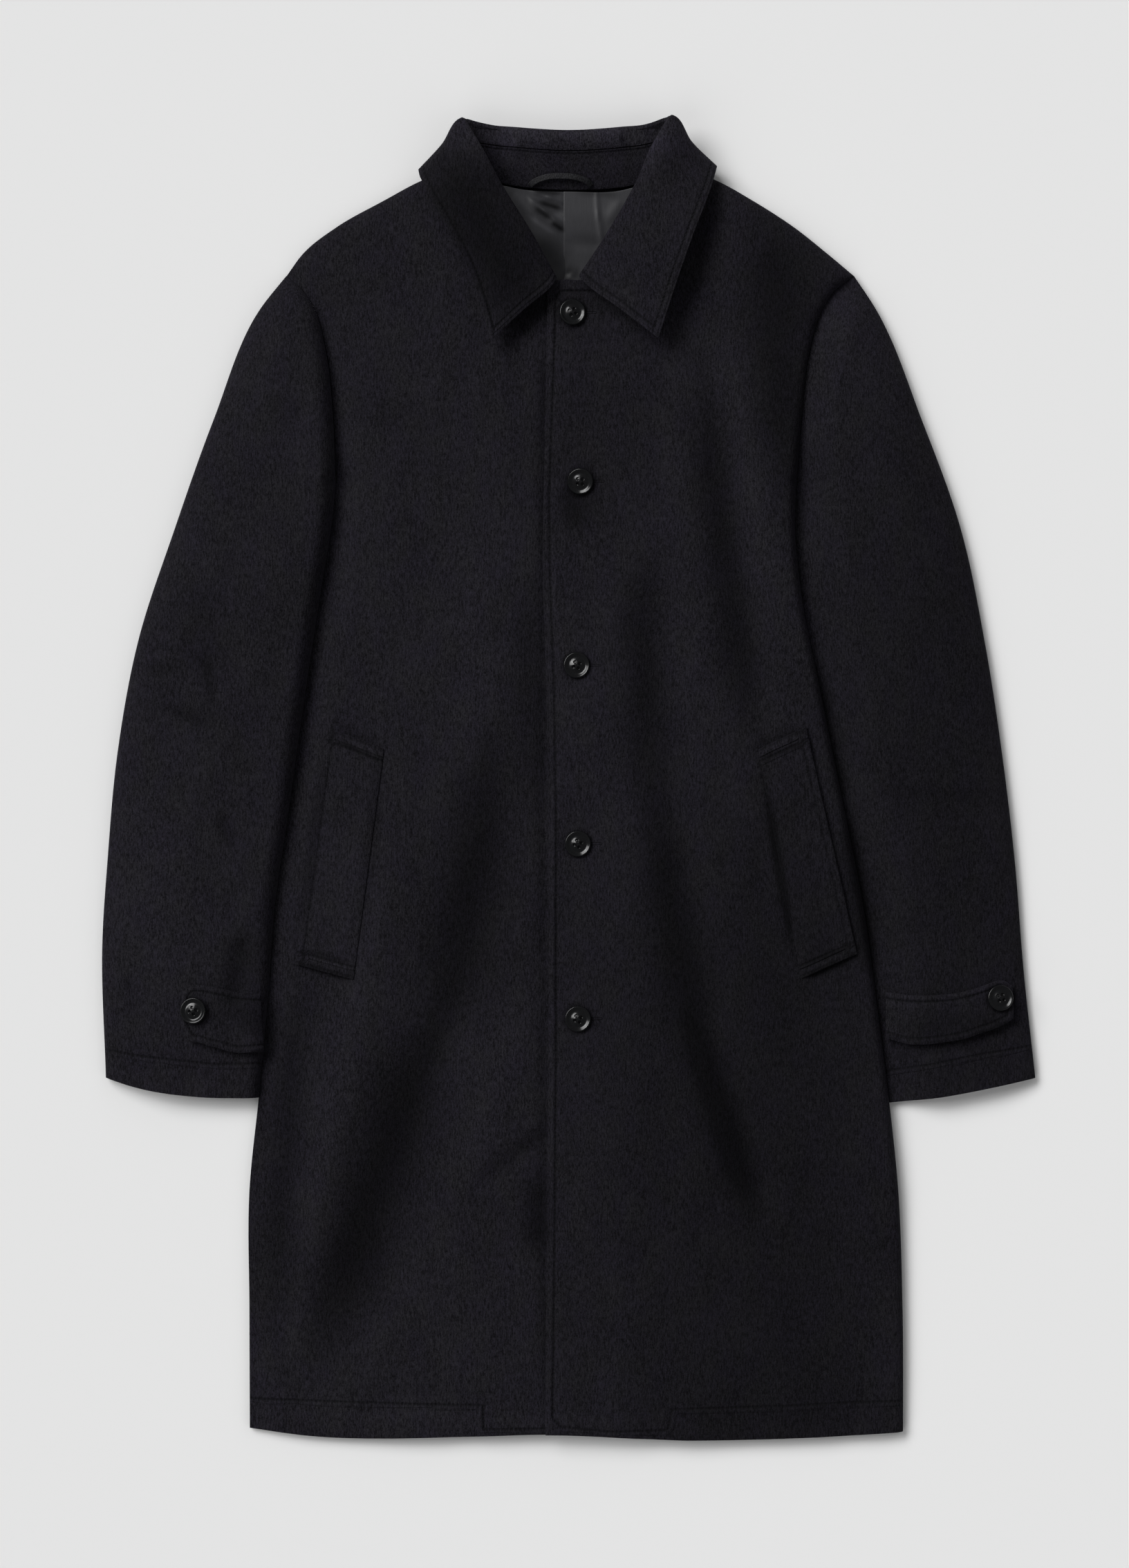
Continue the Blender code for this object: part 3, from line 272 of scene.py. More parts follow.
# Strokes of painted shade and painted light, each making the wool darker or lighter: painted shade where
# folds turn from the light, in the valleys beside the sleeves and under the edges of the collar, welts and
# front, painted light where folds face the light; the valley between the body and the left sleeve is
# painted darker on both
LEFT_VALLEY_PAINTED_SHADE = (
    (0.1937, 0.1071, 0.2210, -0.0346, 0.007, -0.45),
    (0.2145, 0.0035, 0.2450, -0.1818, 0.009, -0.55),
)
BODY_PAINTED_LIGHT_AND_SHADE = strokes(
    (-0.052, 0.074, -0.113, -0.247, 0.025, -0.44),
    (-0.091, -0.138, -0.210, -0.498, 0.029, -0.66),
    (-0.212, -0.105, -0.239, -0.492, 0.015, -0.34),
    (-0.139, -0.007, -0.220, -0.476, 0.018, 0.12),
    (-0.018, -0.127, -0.084, -0.334, 0.024, 0.16),
    (-0.065, 0.216, -0.078, -0.002, 0.022, 0.16),
    (-0.030, 0.194, -0.026, -0.073, 0.013, -0.30),
    (-0.009, -0.269, -0.073, -0.320, 0.008, -0.26),
    (-0.024, -0.304, -0.023, -0.386, 0.011, -0.40),
    (0.096, 0.363, 0.152, -0.013, 0.017, -0.42),
    (0.049, 0.205, 0.069, -0.062, 0.020, -0.32),
    (0.061, 0.009, 0.105, -0.253, 0.018, -0.36),
    (0.087, -0.165, 0.152, -0.367, 0.014, -0.46),
    (0.005, 0.241, 0.008, 0.186, 0.013, -0.44),
    (-0.151, 0.292, -0.091, 0.260, 0.020, -0.12),
    (0.123, 0.407, 0.160, 0.063, 0.014, 0.12),
    (0.149, 0.489, 0.183, 0.178, 0.026, -0.54),
    (0.146, 0.145, 0.168, -0.814, 0.13, -0.42),
    (-0.023, 0.371, 0.048, 0.371, 0.028, -0.26),
    (0.010, 0.358, 0.015, 0.162, 0.036, -0.16),
    (-0.1931, 0.0455, -0.1386, 0.0232, 0.0036, -0.30),
    (-0.1866, 0.0324, -0.1430, 0.0106, 0.0020, -0.50),
    (-0.2128, -0.1333, -0.1637, -0.1469, 0.0020, -0.50),
    (-0.2193, -0.1447, -0.1615, -0.1600, 0.0036, -0.55),
    (-0.1877, 0.0384, -0.1441, 0.0188, 0.0026, 0.20),
    (-0.2128, -0.1387, -0.1670, -0.1518, 0.0026, 0.25),
    (-0.1430, 0.0253, -0.1681, -0.1556, 0.0034, -0.28),
    (0.1377, 0.0232, 0.1894, 0.0417, 0.0036, -0.28),
    (0.1469, 0.0128, 0.1916, 0.0319, 0.0020, -0.50),
    (0.1769, -0.1491, 0.2243, -0.1316, 0.0020, -0.45),
    (0.1785, -0.1589, 0.2330, -0.1382, 0.0036, -0.50),
    (0.1458, 0.0188, 0.1884, 0.0362, 0.0026, 0.15),
    (0.1813, -0.1518, 0.2254, -0.1360, 0.0026, 0.20),
    (0.1491, 0.0226, 0.1807, -0.1627, 0.0026, -0.35),
    (-0.285, -0.501, 0.102, -0.508, 0.009, 0.14),
    (-0.021, 0.396, -0.022, 0.069, 0.0045, -0.14),
    (-0.022, 0.178, -0.022, -0.204, 0.0045, -0.14),
    (-0.022, -0.095, -0.020, -0.541, 0.0045, -0.14),
    (-0.053, -0.002, -0.072, -0.236, 0.03, -0.22),
    (0.178, 0.456, 0.208, 0.331, 0.03, -0.26),
    (-0.0471, 0.3480, -0.0134, 0.3840, 0.012, -0.50),
    (0.1153, 0.4613, 0.0880, 0.3523, 0.008, -0.25),
    (-0.1899, 0.0417, -0.2139, -0.1447, 0.004, -0.40),
    (0.1501, 0.0308, 0.1796, -0.1491, 0.004, -0.40),
    *LEFT_VALLEY_PAINTED_SHADE,
)
SLEEVE_PAINTED_LIGHT_AND_SHADE = strokes(
    (-0.3196, 0.0564, -0.2728, 0.0384, 0.005, -0.36),
    (-0.2869, 0.1044, -0.2760, 0.0493, 0.005, -0.30),
    (-0.3420, 0.0837, -0.3022, 0.0880, 0.005, -0.26),
    (-0.3447, 0.0613, -0.3087, 0.0542, 0.006, -0.16),
    (-0.2760, -0.0210, -0.2586, -0.0619, 0.006, -0.26),
    (-0.252, -0.111, -0.266, -0.190, 0.014, -0.42),
    (-0.293, 0.167, -0.280, 0.063, 0.018, -0.20),
    (-0.240, 0.299, -0.203, 0.279, 0.010, -0.16),
    (0.218, -0.007, 0.371, -0.023, 0.007, -0.10),
    (0.260, 0.450, 0.337, -0.531, 0.090, -0.34),
    (-0.320, 0.036, -0.333, -0.204, 0.030, 0.12),
    *LEFT_VALLEY_PAINTED_SHADE,
)
# Painted shade on the collar's left wing and painted light along the top of its roll
COLLAR_PAINTED_LIGHT_AND_SHADE = strokes(
    (-0.116, 0.521, -0.015, 0.335, 0.038, -0.66),
    (-0.1213, 0.5049, 0.1213, 0.5049, 0.022, 0.80),
)
# Painted light along the collar's stand
STAND_PAINTED_LIGHT = strokes(
    (-0.1213, 0.4950, 0.1213, 0.4950, 0.016, 0.25),
)
# Painted shade on the cuff tabs
TAB_PAINTED_SHADE = strokes(
    (0.236, -0.198, 0.380, -0.193, 0.022, -0.48),
    (-0.279, -0.160, -0.225, -0.209, 0.016, -0.44),
)
FOLD_TAPER = 0.34
FOLD_POINT = 0.40
# Broad unevenness of laid cloth: waves with their lengths across and along, phase and height
CLOTH_WAVES = table(
    "long_x long_y phase height",
    (0.110, 0.310, 0.4, 0.00045),
    (-0.074, 0.190, 1.9, 0.00035),
    (0.051, 0.127, 3.3, 0.00022),
    (-0.038, 0.083, 5.1, 0.00014),
)
WAVE_FADE_Y = (0.300, 0.360)

# Sleeves: outer edge from cuff to shoulder point and the cuff from outer to inner edge
SLEEVE_OUTER = table(
    "right_x right_y left_x left_y",
    (-0.3662, -0.2363, 0.3692, -0.2365),
    (-0.3690, -0.1300, 0.3600, -0.1520),
    (-0.3649, -0.0646, 0.3529, -0.0646),
    (-0.3567, 0.0226, 0.3425, 0.0226),
    (-0.3404, 0.1098, 0.3289, 0.1098),
    (-0.3120, 0.1970, 0.3104, 0.1970),
    (-0.2809, 0.2842, 0.2793, 0.2842),
    (-0.2439, 0.3714, 0.2428, 0.3714),
    (-0.2230, 0.3980, 0.2255, 0.3980),
)
SLEEVE_CUFF = table(
    "right_x right_y left_x left_y",
    (-0.3662, -0.2363, 0.3692, -0.2365),
    (-0.3453, -0.2428, 0.3365, -0.2433),
    (-0.2929, -0.2510, 0.2995, -0.2504),
    (-0.2462, -0.2520, 0.2542, -0.2562),
)

# Collar: neck seam, roll line and outer edge of the fall at stations around the neck, from the
# right front end over the back to the left front end
COLLAR = table(
    "neck_x neck_y neck_z roll_x roll_y roll_z edge_x edge_y edge_z",
    (-0.0150, 0.3925, 0.0225, -0.0095, 0.3945, 0.0255, -0.0608, 0.3440, 0.0350),
    (-0.0352, 0.4280, 0.0215, -0.0290, 0.4290, 0.0280, -0.0765, 0.3945, 0.0350),
    (-0.0605, 0.4680, 0.0215, -0.0540, 0.4685, 0.0325, -0.0985, 0.4380, 0.0320),
    (-0.0700, 0.4815, 0.0190, -0.0690, 0.4960, 0.0345, -0.1130, 0.4640, 0.0250),
    (-0.0705, 0.4830, 0.0165, -0.0834, 0.5194, 0.0285, -0.1188, 0.4812, 0.0105),
    (-0.0690, 0.4800, 0.0135, -0.0808, 0.5190, 0.0255, -0.1172, 0.4756, 0.0008),
    (-0.0635, 0.4755, 0.0114, -0.0650, 0.5152, 0.0235, -0.0995, 0.4680, 0.0002),
    (-0.0470, 0.4692, 0.0098, -0.0400, 0.5125, 0.0230, -0.0504, 0.4600, 0.0002),
    (0.0000, 0.4654, 0.0094, 0.0000, 0.5104, 0.0230, 0.0000, 0.4575, 0.0002),
    (0.0470, 0.4682, 0.0098, 0.0400, 0.5128, 0.0230, 0.0504, 0.4600, 0.0002),
    (0.0625, 0.4755, 0.0114, 0.0630, 0.5156, 0.0235, 0.0975, 0.4690, 0.0002),
    (0.0678, 0.4800, 0.0135, 0.0784, 0.5208, 0.0255, 0.1154, 0.4798, 0.0008),
    (0.0692, 0.4830, 0.0165, 0.0808, 0.5214, 0.0285, 0.1172, 0.4838, 0.0105),
    (0.0688, 0.4815, 0.0190, 0.0665, 0.4985, 0.0350, 0.1120, 0.4650, 0.0275),
    (0.0572, 0.4660, 0.0215, 0.0520, 0.4660, 0.0335, 0.0985, 0.4290, 0.0375),
    (0.0325, 0.4255, 0.0235, 0.0285, 0.4255, 0.0305, 0.0840, 0.3880, 0.0400),
    (0.0115, 0.3960, 0.0240, 0.0080, 0.3945, 0.0285, 0.0700, 0.3448, 0.0395),
)
# At the same stations: how far the fall's middle is lifted and drawn in, the radius of the roll
# and the seam's share of the way from the neck to the roll
COLLAR_FORM = table(
    "belly waist radius seam",
    (0.0010, 0.0000, 0.0046, 0.42),
    (0.0015, 0.0000, 0.0046, 0.50),
    (0.0015, 0.0000, 0.0046, 0.50),
    (0.0010, 0.0008, 0.0034, 0.50),
    (0.0000, 0.0018, 0.0016, 0.50),
    (-0.0050, 0.0015, 0.0022, 0.54),
    (-0.0075, 0.0000, 0.0046, 0.59),
    (-0.0060, 0.0000, 0.0046, 0.63),
    (-0.0050, 0.0000, 0.0046, 0.63),
    (-0.0060, 0.0000, 0.0046, 0.63),
    (-0.0075, 0.0000, 0.0046, 0.59),
    (-0.0050, 0.0022, 0.0022, 0.54),
    (0.0000, 0.0028, 0.0016, 0.50),
    (0.0010, 0.0012, 0.0034, 0.50),
    (0.0020, 0.0000, 0.0046, 0.50),
    (0.0020, 0.0000, 0.0046, 0.50),
    (0.0010, 0.0000, 0.0046, 0.42),
)
COLLAR_ROLL_TURN = math.radians(62)
COLLAR_SEAM_GAP = 0.0009

# Pocket welts: corners from the top inner one round to the bottom inner one
WELT = table(
    "right_x right_y left_x left_y",
    (-0.1452, 0.0235, 0.1491, 0.0232),
    (-0.1900, 0.0405, 0.1867, 0.0411),
    (-0.2155, -0.1465, 0.2275, -0.1380),
    (-0.1692, -0.1585, 0.1830, -0.1575),
)
# Cuff tabs: upper and lower edge from the sleeve's inner edge to the rounded end
TAB = table(
    "right_x right_top right_low left_x left_top left_low",
    (-0.2445, -0.1694, -0.2142, 0.2515, -0.1683, -0.2046),
    (-0.2604, -0.1686, -0.2154, 0.2750, -0.1706, -0.2090),
    (-0.2766, -0.1646, -0.2116, 0.3020, -0.1692, -0.2061),
    (-0.2900, -0.1622, -0.2076, 0.3256, -0.1632, -0.1995),
    (-0.2985, -0.1630, -0.2046, 0.3400, -0.1585, -0.1944),
    (-0.3045, -0.1690, -0.1930, 0.3495, -0.1635, -0.1890),
)
TAB_LIFT = 0.0030
TAB_CROWDING = 1.6

# Buttons: place, tilt about X and Y in degrees and turn about the shank
BUTTON_NAMES = [f"button_front_{number}" for number in range(1, 6)]
BUTTON_NAMES += ["button_cuff_right", "button_cuff_left"]
BUTTONS = table(
    "x y tilt_x tilt_y turn",
    (0.0028, 0.3669, 0, -7, 20),
    (0.0093, 0.2341, 5, 0, 45),
    (0.0062, 0.0893, 0, 0, 0),
    (0.0072, -0.0510, 0, 0, 25),
    (0.0072, -0.1888, 0, 0, 70),
    (-0.2950, -0.1823, 0, -8, 10),
    (0.3395, -0.1725, 0, 4, 10),
)
BUTTON_GAP = 0.0004
# The wool under a button's rim lies in its shade
BUTTON_SHADE = 0.45
BUTTON_SHADE_REACH = (0.0095, 0.0135)
# Turned section of a button from the middle of its coned face over the rim to its back
BUTTON_SECTION = table(
    "radius height",
    (0.0000, 0.00300),
    (0.0012, 0.00290),
    (0.0040, 0.00195),
    (0.0058, 0.00130),
    (0.0064, 0.00118),
    (0.0070, 0.00130),
    (0.0080, 0.00178),
    (0.0090, 0.00232),
    (0.0095, 0.00245),
    (0.0099, 0.00225),
    (0.0102, 0.00165),
    (0.0100, 0.00075),
    (0.0090, 0.00010),
    (0.0080, 0.00000),
    (0.0000, 0.00000),
)
# The first points of the section are the cone, into which the four holes are sunk
BUTTON_FACE_POINTS = 5
BUTTON_HOLE_REACH = 0.0027
BUTTON_HOLE_RADIUS = 0.00120
BUTTON_HOLE_EDGE = 0.00012
BUTTON_HOLE_DEPTH = 0.0014
# Thread over a button's face, and the buttonhole's thread ring, which shows beside the button
THREAD_RADIUS = 0.00026
THREAD_STEPS = 14
THREAD_SIDES = 6
THREAD_UP = np.array([0.010, 0.007, 1.0])
THREAD_RISE = 0.0001
THREAD_SINK = 0.0012
HOLE_LENGTH = 0.0200
HOLE_HALF_WIDTH = 0.0009
HOLE_STEPS = 40
HOLE_SQUARENESS = 1.6
HOLE_RISE = -0.0001

# Hanger loop: centre line from end to end, with its height
LOOP = table(
    "x y z",
    (-0.0310, 0.4680, 0.0122),
    (-0.0280, 0.4705, 0.0140),
    (-0.0202, 0.4738, 0.0162),
    (-0.0041, 0.4752, 0.0170),
    (0.0080, 0.4737, 0.0164),
    (0.0150, 0.4709, 0.0144),
    (0.0182, 0.4678, 0.0122),
)
LOOP_WIDTH = 0.0048

# Lining: the two halves overlap at the pleat
LINING_TOP_DROP = 0.0002
LINING_GAP = 0.0011
LINING_LOW_Y = 0.372
LINING_HALF_WIDTH = 0.062
PLEAT_X = -0.0040
PLEAT_LAP = 0.010
LINING_TILT = 0.12
# Strokes in which the satin is creased away from the light, or towards it
LINING_SHADE = strokes(
    (-0.0275, 0.4564, -0.0019, 0.4494, 0.0024, -0.80),
    (-0.0297, 0.4532, -0.0123, 0.4406, 0.0024, -0.70),
    (-0.0166, 0.4417, -0.0014, 0.4314, 0.0026, -0.85),
    (-0.0357, 0.4461, -0.0079, 0.4286, 0.002, 0.55),
    (-0.0134, 0.4477, -0.0019, 0.4406, 0.0018, 0.50),
    (-0.0259, 0.4314, -0.0025, 0.3981, 0.01, -0.50),
    (-0.0461, 0.4630, -0.0330, 0.4537, 0.004, 0.25),
    (-0.0330, 0.4646, -0.0019, 0.4619, 0.0022, -0.65),
    (-0.0057, 0.4025, 0.0106, 0.3970, 0.006, -0.50),
    (0.0030, 0.4276, 0.0270, 0.4232, 0.005, -0.16),
    (-0.0003, 0.4635, 0.0444, 0.4608, 0.003, -0.35),
)
RIGHT_WRINKLES = strokes(
    (-0.0560, 0.4680, -0.0340, 0.4400, 0.0045, 0.0014),
    (-0.0340, 0.4610, -0.0130, 0.4430, 0.0024, 0.0011),
    (-0.0240, 0.4540, -0.0010, 0.4310, 0.0024, 0.0013),
    (-0.0280, 0.4490, -0.0090, 0.4380, 0.0022, -0.0009),
    (-0.0330, 0.4650, -0.0090, 0.4570, 0.0022, 0.0009),
    (-0.0210, 0.4600, 0.0020, 0.4550, 0.0024, 0.0010),
    (-0.0250, 0.4570, -0.0010, 0.4440, 0.0022, -0.0010),
    (-0.0440, 0.4580, -0.0230, 0.4360, 0.0040, -0.0010),
    (-0.0330, 0.4380, -0.0060, 0.4130, 0.0060, 0.0010),
    (-0.0600, 0.4660, 0.0000, 0.3750, 0.0170, 0.0050),
)
LEFT_WRINKLES = strokes(
    (0.0218, 0.4680, 0.0234, 0.4380, 0.0020, 0.0005),
    (0.0224, 0.4520, 0.0266, 0.4200, 0.0022, 0.0005),
    (0.0300, 0.4380, 0.0420, 0.4580, 0.0050, 0.0006),
    (-0.0030, 0.3990, 0.0110, 0.3910, 0.0034, 0.0009),
    (-0.0060, 0.4250, 0.0330, 0.4220, 0.0060, -0.0006),
)

# Rows of stitches on each panel, each run with the cloth's edge on its right
LEFT_FRONT_STITCH = table(
    "x y",
    (0.0300, 0.3838),
    (-0.0060, 0.3838),
    (-0.0100, 0.3800),
    (-0.0106, 0.3520),
    (-0.0150, 0.2250),
    (-0.0144, 0.1560),
    (-0.0128, 0.1120),
    (-0.0112, 0.0690),
    (-0.0097, -0.0200),
    (-0.0097, -0.2200),
    (-0.0112, -0.4000),
    (-0.0124, -0.5040),
    (-0.0057, -0.5107),
    (0.0324, -0.5148),
    (0.0788, -0.5142),
    (0.0809, -0.4976),
    (0.1071, -0.4970),
    (0.1676, -0.4952),
    (0.2281, -0.4921),
    (0.2660, -0.4915),
)
RIGHT_FRONT_STITCH = table(
    "x y",
    (-0.2540, -0.4900),
    (-0.1800, -0.4922),
    (-0.1100, -0.4938),
    (-0.0672, -0.4946),
    (-0.0668, -0.5134),
    (-0.0400, -0.5132),
    (-0.0100, -0.5124),
)
CUFF_STITCH = table(
    "right_x right_y left_x left_y",
    (-0.3700, -0.2130, 0.2480, -0.2318),
    (-0.3393, -0.2186, 0.2853, -0.2254),
    (-0.3068, -0.2221, 0.3256, -0.2170),
    (-0.2806, -0.2250, 0.3556, -0.2128),
    (-0.2400, -0.2246, 0.3740, -0.2090),
)
# A row draws the cloth within STITCH_REACH of it; rows lie a length in from an edge, or a share of
# the welt's length in from its ends, and the welt is sunk over a share of its width where it is sewn in
STITCH_REACH = 0.005
FAR_FROM_STITCH = 0.010
COLLAR_STITCH_IN = 0.0055
TAB_STITCH_IN = 0.0050
WELT_SINK = 0.0024
WELT_SINK_SHARE = 0.16
WELT_STITCH_SHARE = 0.053
WELT_END_SHARE = 0.009
FAINT_ROW = 0.0008
STAND_STITCH_IN = 0.0022
WELT_EDGE_IN = 0.0055

# Soft lights that fill the shadows: the way each shines and its strength
FILL_LIGHTS = table(
    "x y z strength",
    (0.60, 0.70, -0.68, 0.45),
    (-0.80, 0.50, -0.68, 0.28),
    (-0.60, -0.80, -0.68, 0.25),
)
# The key light is one broad soft box, made of two lamps side by side
KEY_LIGHTS = table(
    "x y z",
    (0.78, -0.38, -0.80),
    (0.50, -0.70, -0.80),
)

# Grain of each material across, along and through. Fibres of the nap are about 0.02 mm thick and
# floats of the satin 0.1 mm wide, so both are drawn coarser here, to show
TUFT_SIZE = (0.0011, 0.0045, 0.0011)
GRAIN_SIZE = (0.0007, 0.0014, 0.0007)
FLOAT_SIZE = (0.0006, 0.012, 0.0006)
# Patches where the nap was stroked another way, and where the dye took unevenly
LIE_SIZE = (0.040, 0.070, 0.040)
DYE_SIZE = (0.018, 0.030, 0.018)
# Strands of the braid, haze of the polish, one turn of the thread's twist, tooth of the board
STRAND_SIZE = (0.0008, 0.0016, 0.0008)
HAZE_SIZE = (0.0015,) * 3
TWIST_SIZE = (0.0005,) * 3
TOOTH_SIZE = (0.002,) * 3
# How much the fine grain and the patches add to the tufts, and the ranges that set the colours
GRAIN_SHARE = 0.95
LIE_SHARE = 0.30
NAP_RANGE = (0.87, 1.40)
DYE_RANGE = (0.35, 0.65)
FLECK_RANGE = (0.35, 0.70)
# The least share of the wool's colour, and of the satin's colour and gleam, that painted shade leaves, and
# the satin's gleam
LEAST_LEFT_UNDER_PAINTED_SHADE = 0.25
LEAST_GLEAM = 0.12
SATIN_GLEAM = 0.5
# A row of stitches fades over this range of mm past its end, pulls this share between needle
# holes, and shows this share of its thread
ROW_END_RANGE = (0.2, 1.5)
STITCH_PULL = 0.6
THREAD_SHARE = 0.75
# Strength and height of each relief
NAP_BUMP = (0.55, 0.0007)
FLOAT_BUMP = (0.15, 0.0003)
STRAND_BUMP = (0.8, 0.0006)
TWIST_BUMP = (0.4, 0.0002)
TOOTH_BUMP = (0.05, 0.0002)
WOOL_FINISH = {"Roughness": 0.92, "Specular IOR Level": 0.08, "Sheen Weight": 0.05, "Sheen Roughness": 0.5}
SATIN_FINISH = {"Roughness": 0.46, "Sheen Weight": 0.1}
TAPE_FINISH = {"Roughness": 0.55, "Specular IOR Level": 0.2}
RESIN_ROUGHNESS = (0.17, 0.23)
RESIN_FINISH = {"IOR": 1.54, "Specular IOR Level": 0.34}
THREAD_FINISH = {"Roughness": 0.8, "Specular IOR Level": 0.05}
BOARD_FINISH = {"Roughness": 0.9, "Specular IOR Level": 0.1}
# Millimetres in a metre, and the width of the camera's sensor in mm
MM = 1000
SENSOR_WIDTH = 36.0

# How finely each piece is cut: numbers of rows, columns and steps, and where they change
ROLL_STEPS = 8
TURN_STEPS = 4
FRONT_COLUMNS = 84
FRONT_ROWS_BELOW = 300
FRONT_ROWS_ABOVE = 48
SHOULDER_RUN = 0.5
ROW_CLEAR = 0.002
BACK_ROWS = 130
BACK_NECK_SHARE = 0.87
BACK_NECK_ROWS = 14
BACK_COLUMNS = 36
NECK_HALF = 0.0750
SIDE_EASE = 0.012
SLEEVE_COLUMNS = 64
SLEEVE_ROWS = 280
UNDER_COLUMNS = 28
UNDER_ROWS = 110
COLLAR_LENGTH_STEPS = 230
STAND_STEPS = 14
FALL_STEPS = 44
WELT_COLUMNS = 18
WELT_ROWS = 70
TAB_STEPS = 50
TAB_COLUMNS = 20
LOOP_STEPS = 60
LOOP_COLUMNS = 6
LINING_COLUMNS = 64
LINING_ROWS = 90
BUTTON_STEPS = 96
BUTTON_SIDES = 96
EDGE_SHARES = np.linspace(0, 1, 160)


def cubic(t, span, first, last, first_slope, last_slope):
    """A cubic between two values that leaves the first and meets the last at the given slopes."""
    start = (2 * t ** 3 - 3 * t ** 2 + 1) * first + (t ** 3 - 2 * t ** 2 + t) * span * first_slope
    stop = (3 * t ** 2 - 2 * t ** 3) * last + (t ** 3 - t ** 2) * span * last_slope
    return start + stop


def smooth(at, knots, values, sharp=False):
    """A curve through the values at the knots: a cubic between each two, of even slope; where it
    is sharp it doesn't run past a knot at which it turns back."""
    slopes = np.gradient(values, knots)
    if sharp:
        step = np.diff(values)
        slopes[1:-1] = np.where(step[1:] * step[:-1] <= 0, 0.0, slopes[1:-1])
    low = np.clip(np.searchsorted(knots, at) - 1, 0, len(knots) - 2)
    span = knots[low + 1] - knots[low]
    t = np.clip((at - knots[low]) / span, 0.0, 1.0)
    return cubic(t, span, values[low], values[low + 1], slopes[low], slopes[low + 1])


def along(points, share):
    """Points at the given shares of the length of a smooth curve through some points."""
    points = np.asarray(points, float)
    run = np.concatenate([[0.0], np.cumsum(np.linalg.norm(np.diff(points, axis=0), axis=1))])
    return np.stack([smooth(np.asarray(share) * run[-1], run, column) for column in points.T], axis=-1)


def ease(value, low, high):
    """A soft step from 0 at low to 1 at high: three squares less two cubes."""
    t = np.clip((value - low) / (high - low), 0.0, 1.0)
    return t * t * (3 - 2 * t)


def columns(sizes, *names):
    """The named columns of a table as points."""
    return np.stack([sizes[name] for name in names], axis=-1)


def side_points(sizes, side):
    """One side's x and y in a table as points."""
    return columns(sizes, side + "_x", side + "_y")


def side_x(y, side):
    """Where the body's side fold is at a height y."""
    return smooth(y, BODY_SIDE["y"], BODY_SIDE[side])


def armhole_points(side):
    """The armhole seam's points from the underarm to the shoulder point."""
    return columns(ARMHOLE, side, "y")


def side_edge(side):
    """The body's side fold from the hem to the underarm, closely spaced."""
    y = np.linspace(BODY_SIDE["y"][0], BODY_SIDE["y"][-1], len(EDGE_SHARES))
    return np.stack([side_x(y, side), y], axis=-1)


def nearest(x, y, line):
    """Distance to a closely spaced line, and the share of the line at the nearest point."""
    flat = np.stack([np.ravel(x), np.ravel(y)], axis=-1)
    square = (flat ** 2).sum(1)[:, None] + (line ** 2).sum(1) - 2 * flat @ line.T
    best = square.argmin(axis=1)
    reach = np.full(len(flat), np.inf)
    for step in (0, 1):
        first = np.clip(best - 1 + step, 0, len(line) - 2)
        start = line[first]
        run = line[first + 1] - start
        t = np.clip(((flat - start) * run).sum(1) / (run * run).sum(1), 0, 1)
        reach = np.minimum(reach, np.linalg.norm(flat - start - t[:, None] * run, axis=1))
    return reach.reshape(np.shape(x)), EDGE_SHARES[best].reshape(np.shape(x))


def roll(distance, radius, soft=False):
    """The height share of an edge at a distance in from it: a quarter round, or a soft step
    where it lies down softly."""
    t = np.clip(distance / radius, 0.0, 1.0)
    return ease(t, 0.0, 1.0) if soft else np.sqrt(np.clip(1 - (1 - t) ** 2, 0.0, 1.0))


def folds(x, y, sizes):
    """Height of soft folds, or how much darker or lighter strokes of painted shade and painted light make
    the cloth: each is a bell across its line that eases in and out along it over FOLD_TAPER of its length
    at each end, and narrows there to FOLD_POINT of its width."""
    total = np.zeros(np.shape(x))
    for x0, y0, x1, y1, width, height in zip(*sizes.values()):
        run = np.array([x1 - x0, y1 - y0])
        t = np.clip(((x - x0) * run[0] + (y - y0) * run[1]) / (run @ run), 0, 1)
        away = np.hypot(x - x0 - t * run[0], y - y0 - t * run[1])
        taper = ease(t, 0.0, FOLD_TAPER) * (1 - ease(t, 1 - FOLD_TAPER, 1.0))
        wide = width * (FOLD_POINT + (1 - FOLD_POINT) * taper)
        total = total + height * taper * np.exp(-(away / wide) ** 2)
    return total


def waves(x, y):
    """Broad unevenness: a sum of a few long slanting sine waves, faded out towards the neck."""
    total = np.zeros(np.shape(x))
    for long_x, long_y, phase, height in zip(*CLOTH_WAVES.values()):
        total = total + height * np.sin(2 * math.pi * (x / long_x + y / long_y) + phase)
    return total * (1 - ease(y, *WAVE_FADE_Y))


def neck_raise(x, y):
    """How far the back is lifted over the collar's back fall."""
    across = 1 - ease(np.abs(x), *NECK_RAISE_X)
    return NECK_RAISE * ease(y, *NECK_RAISE_Y) * across


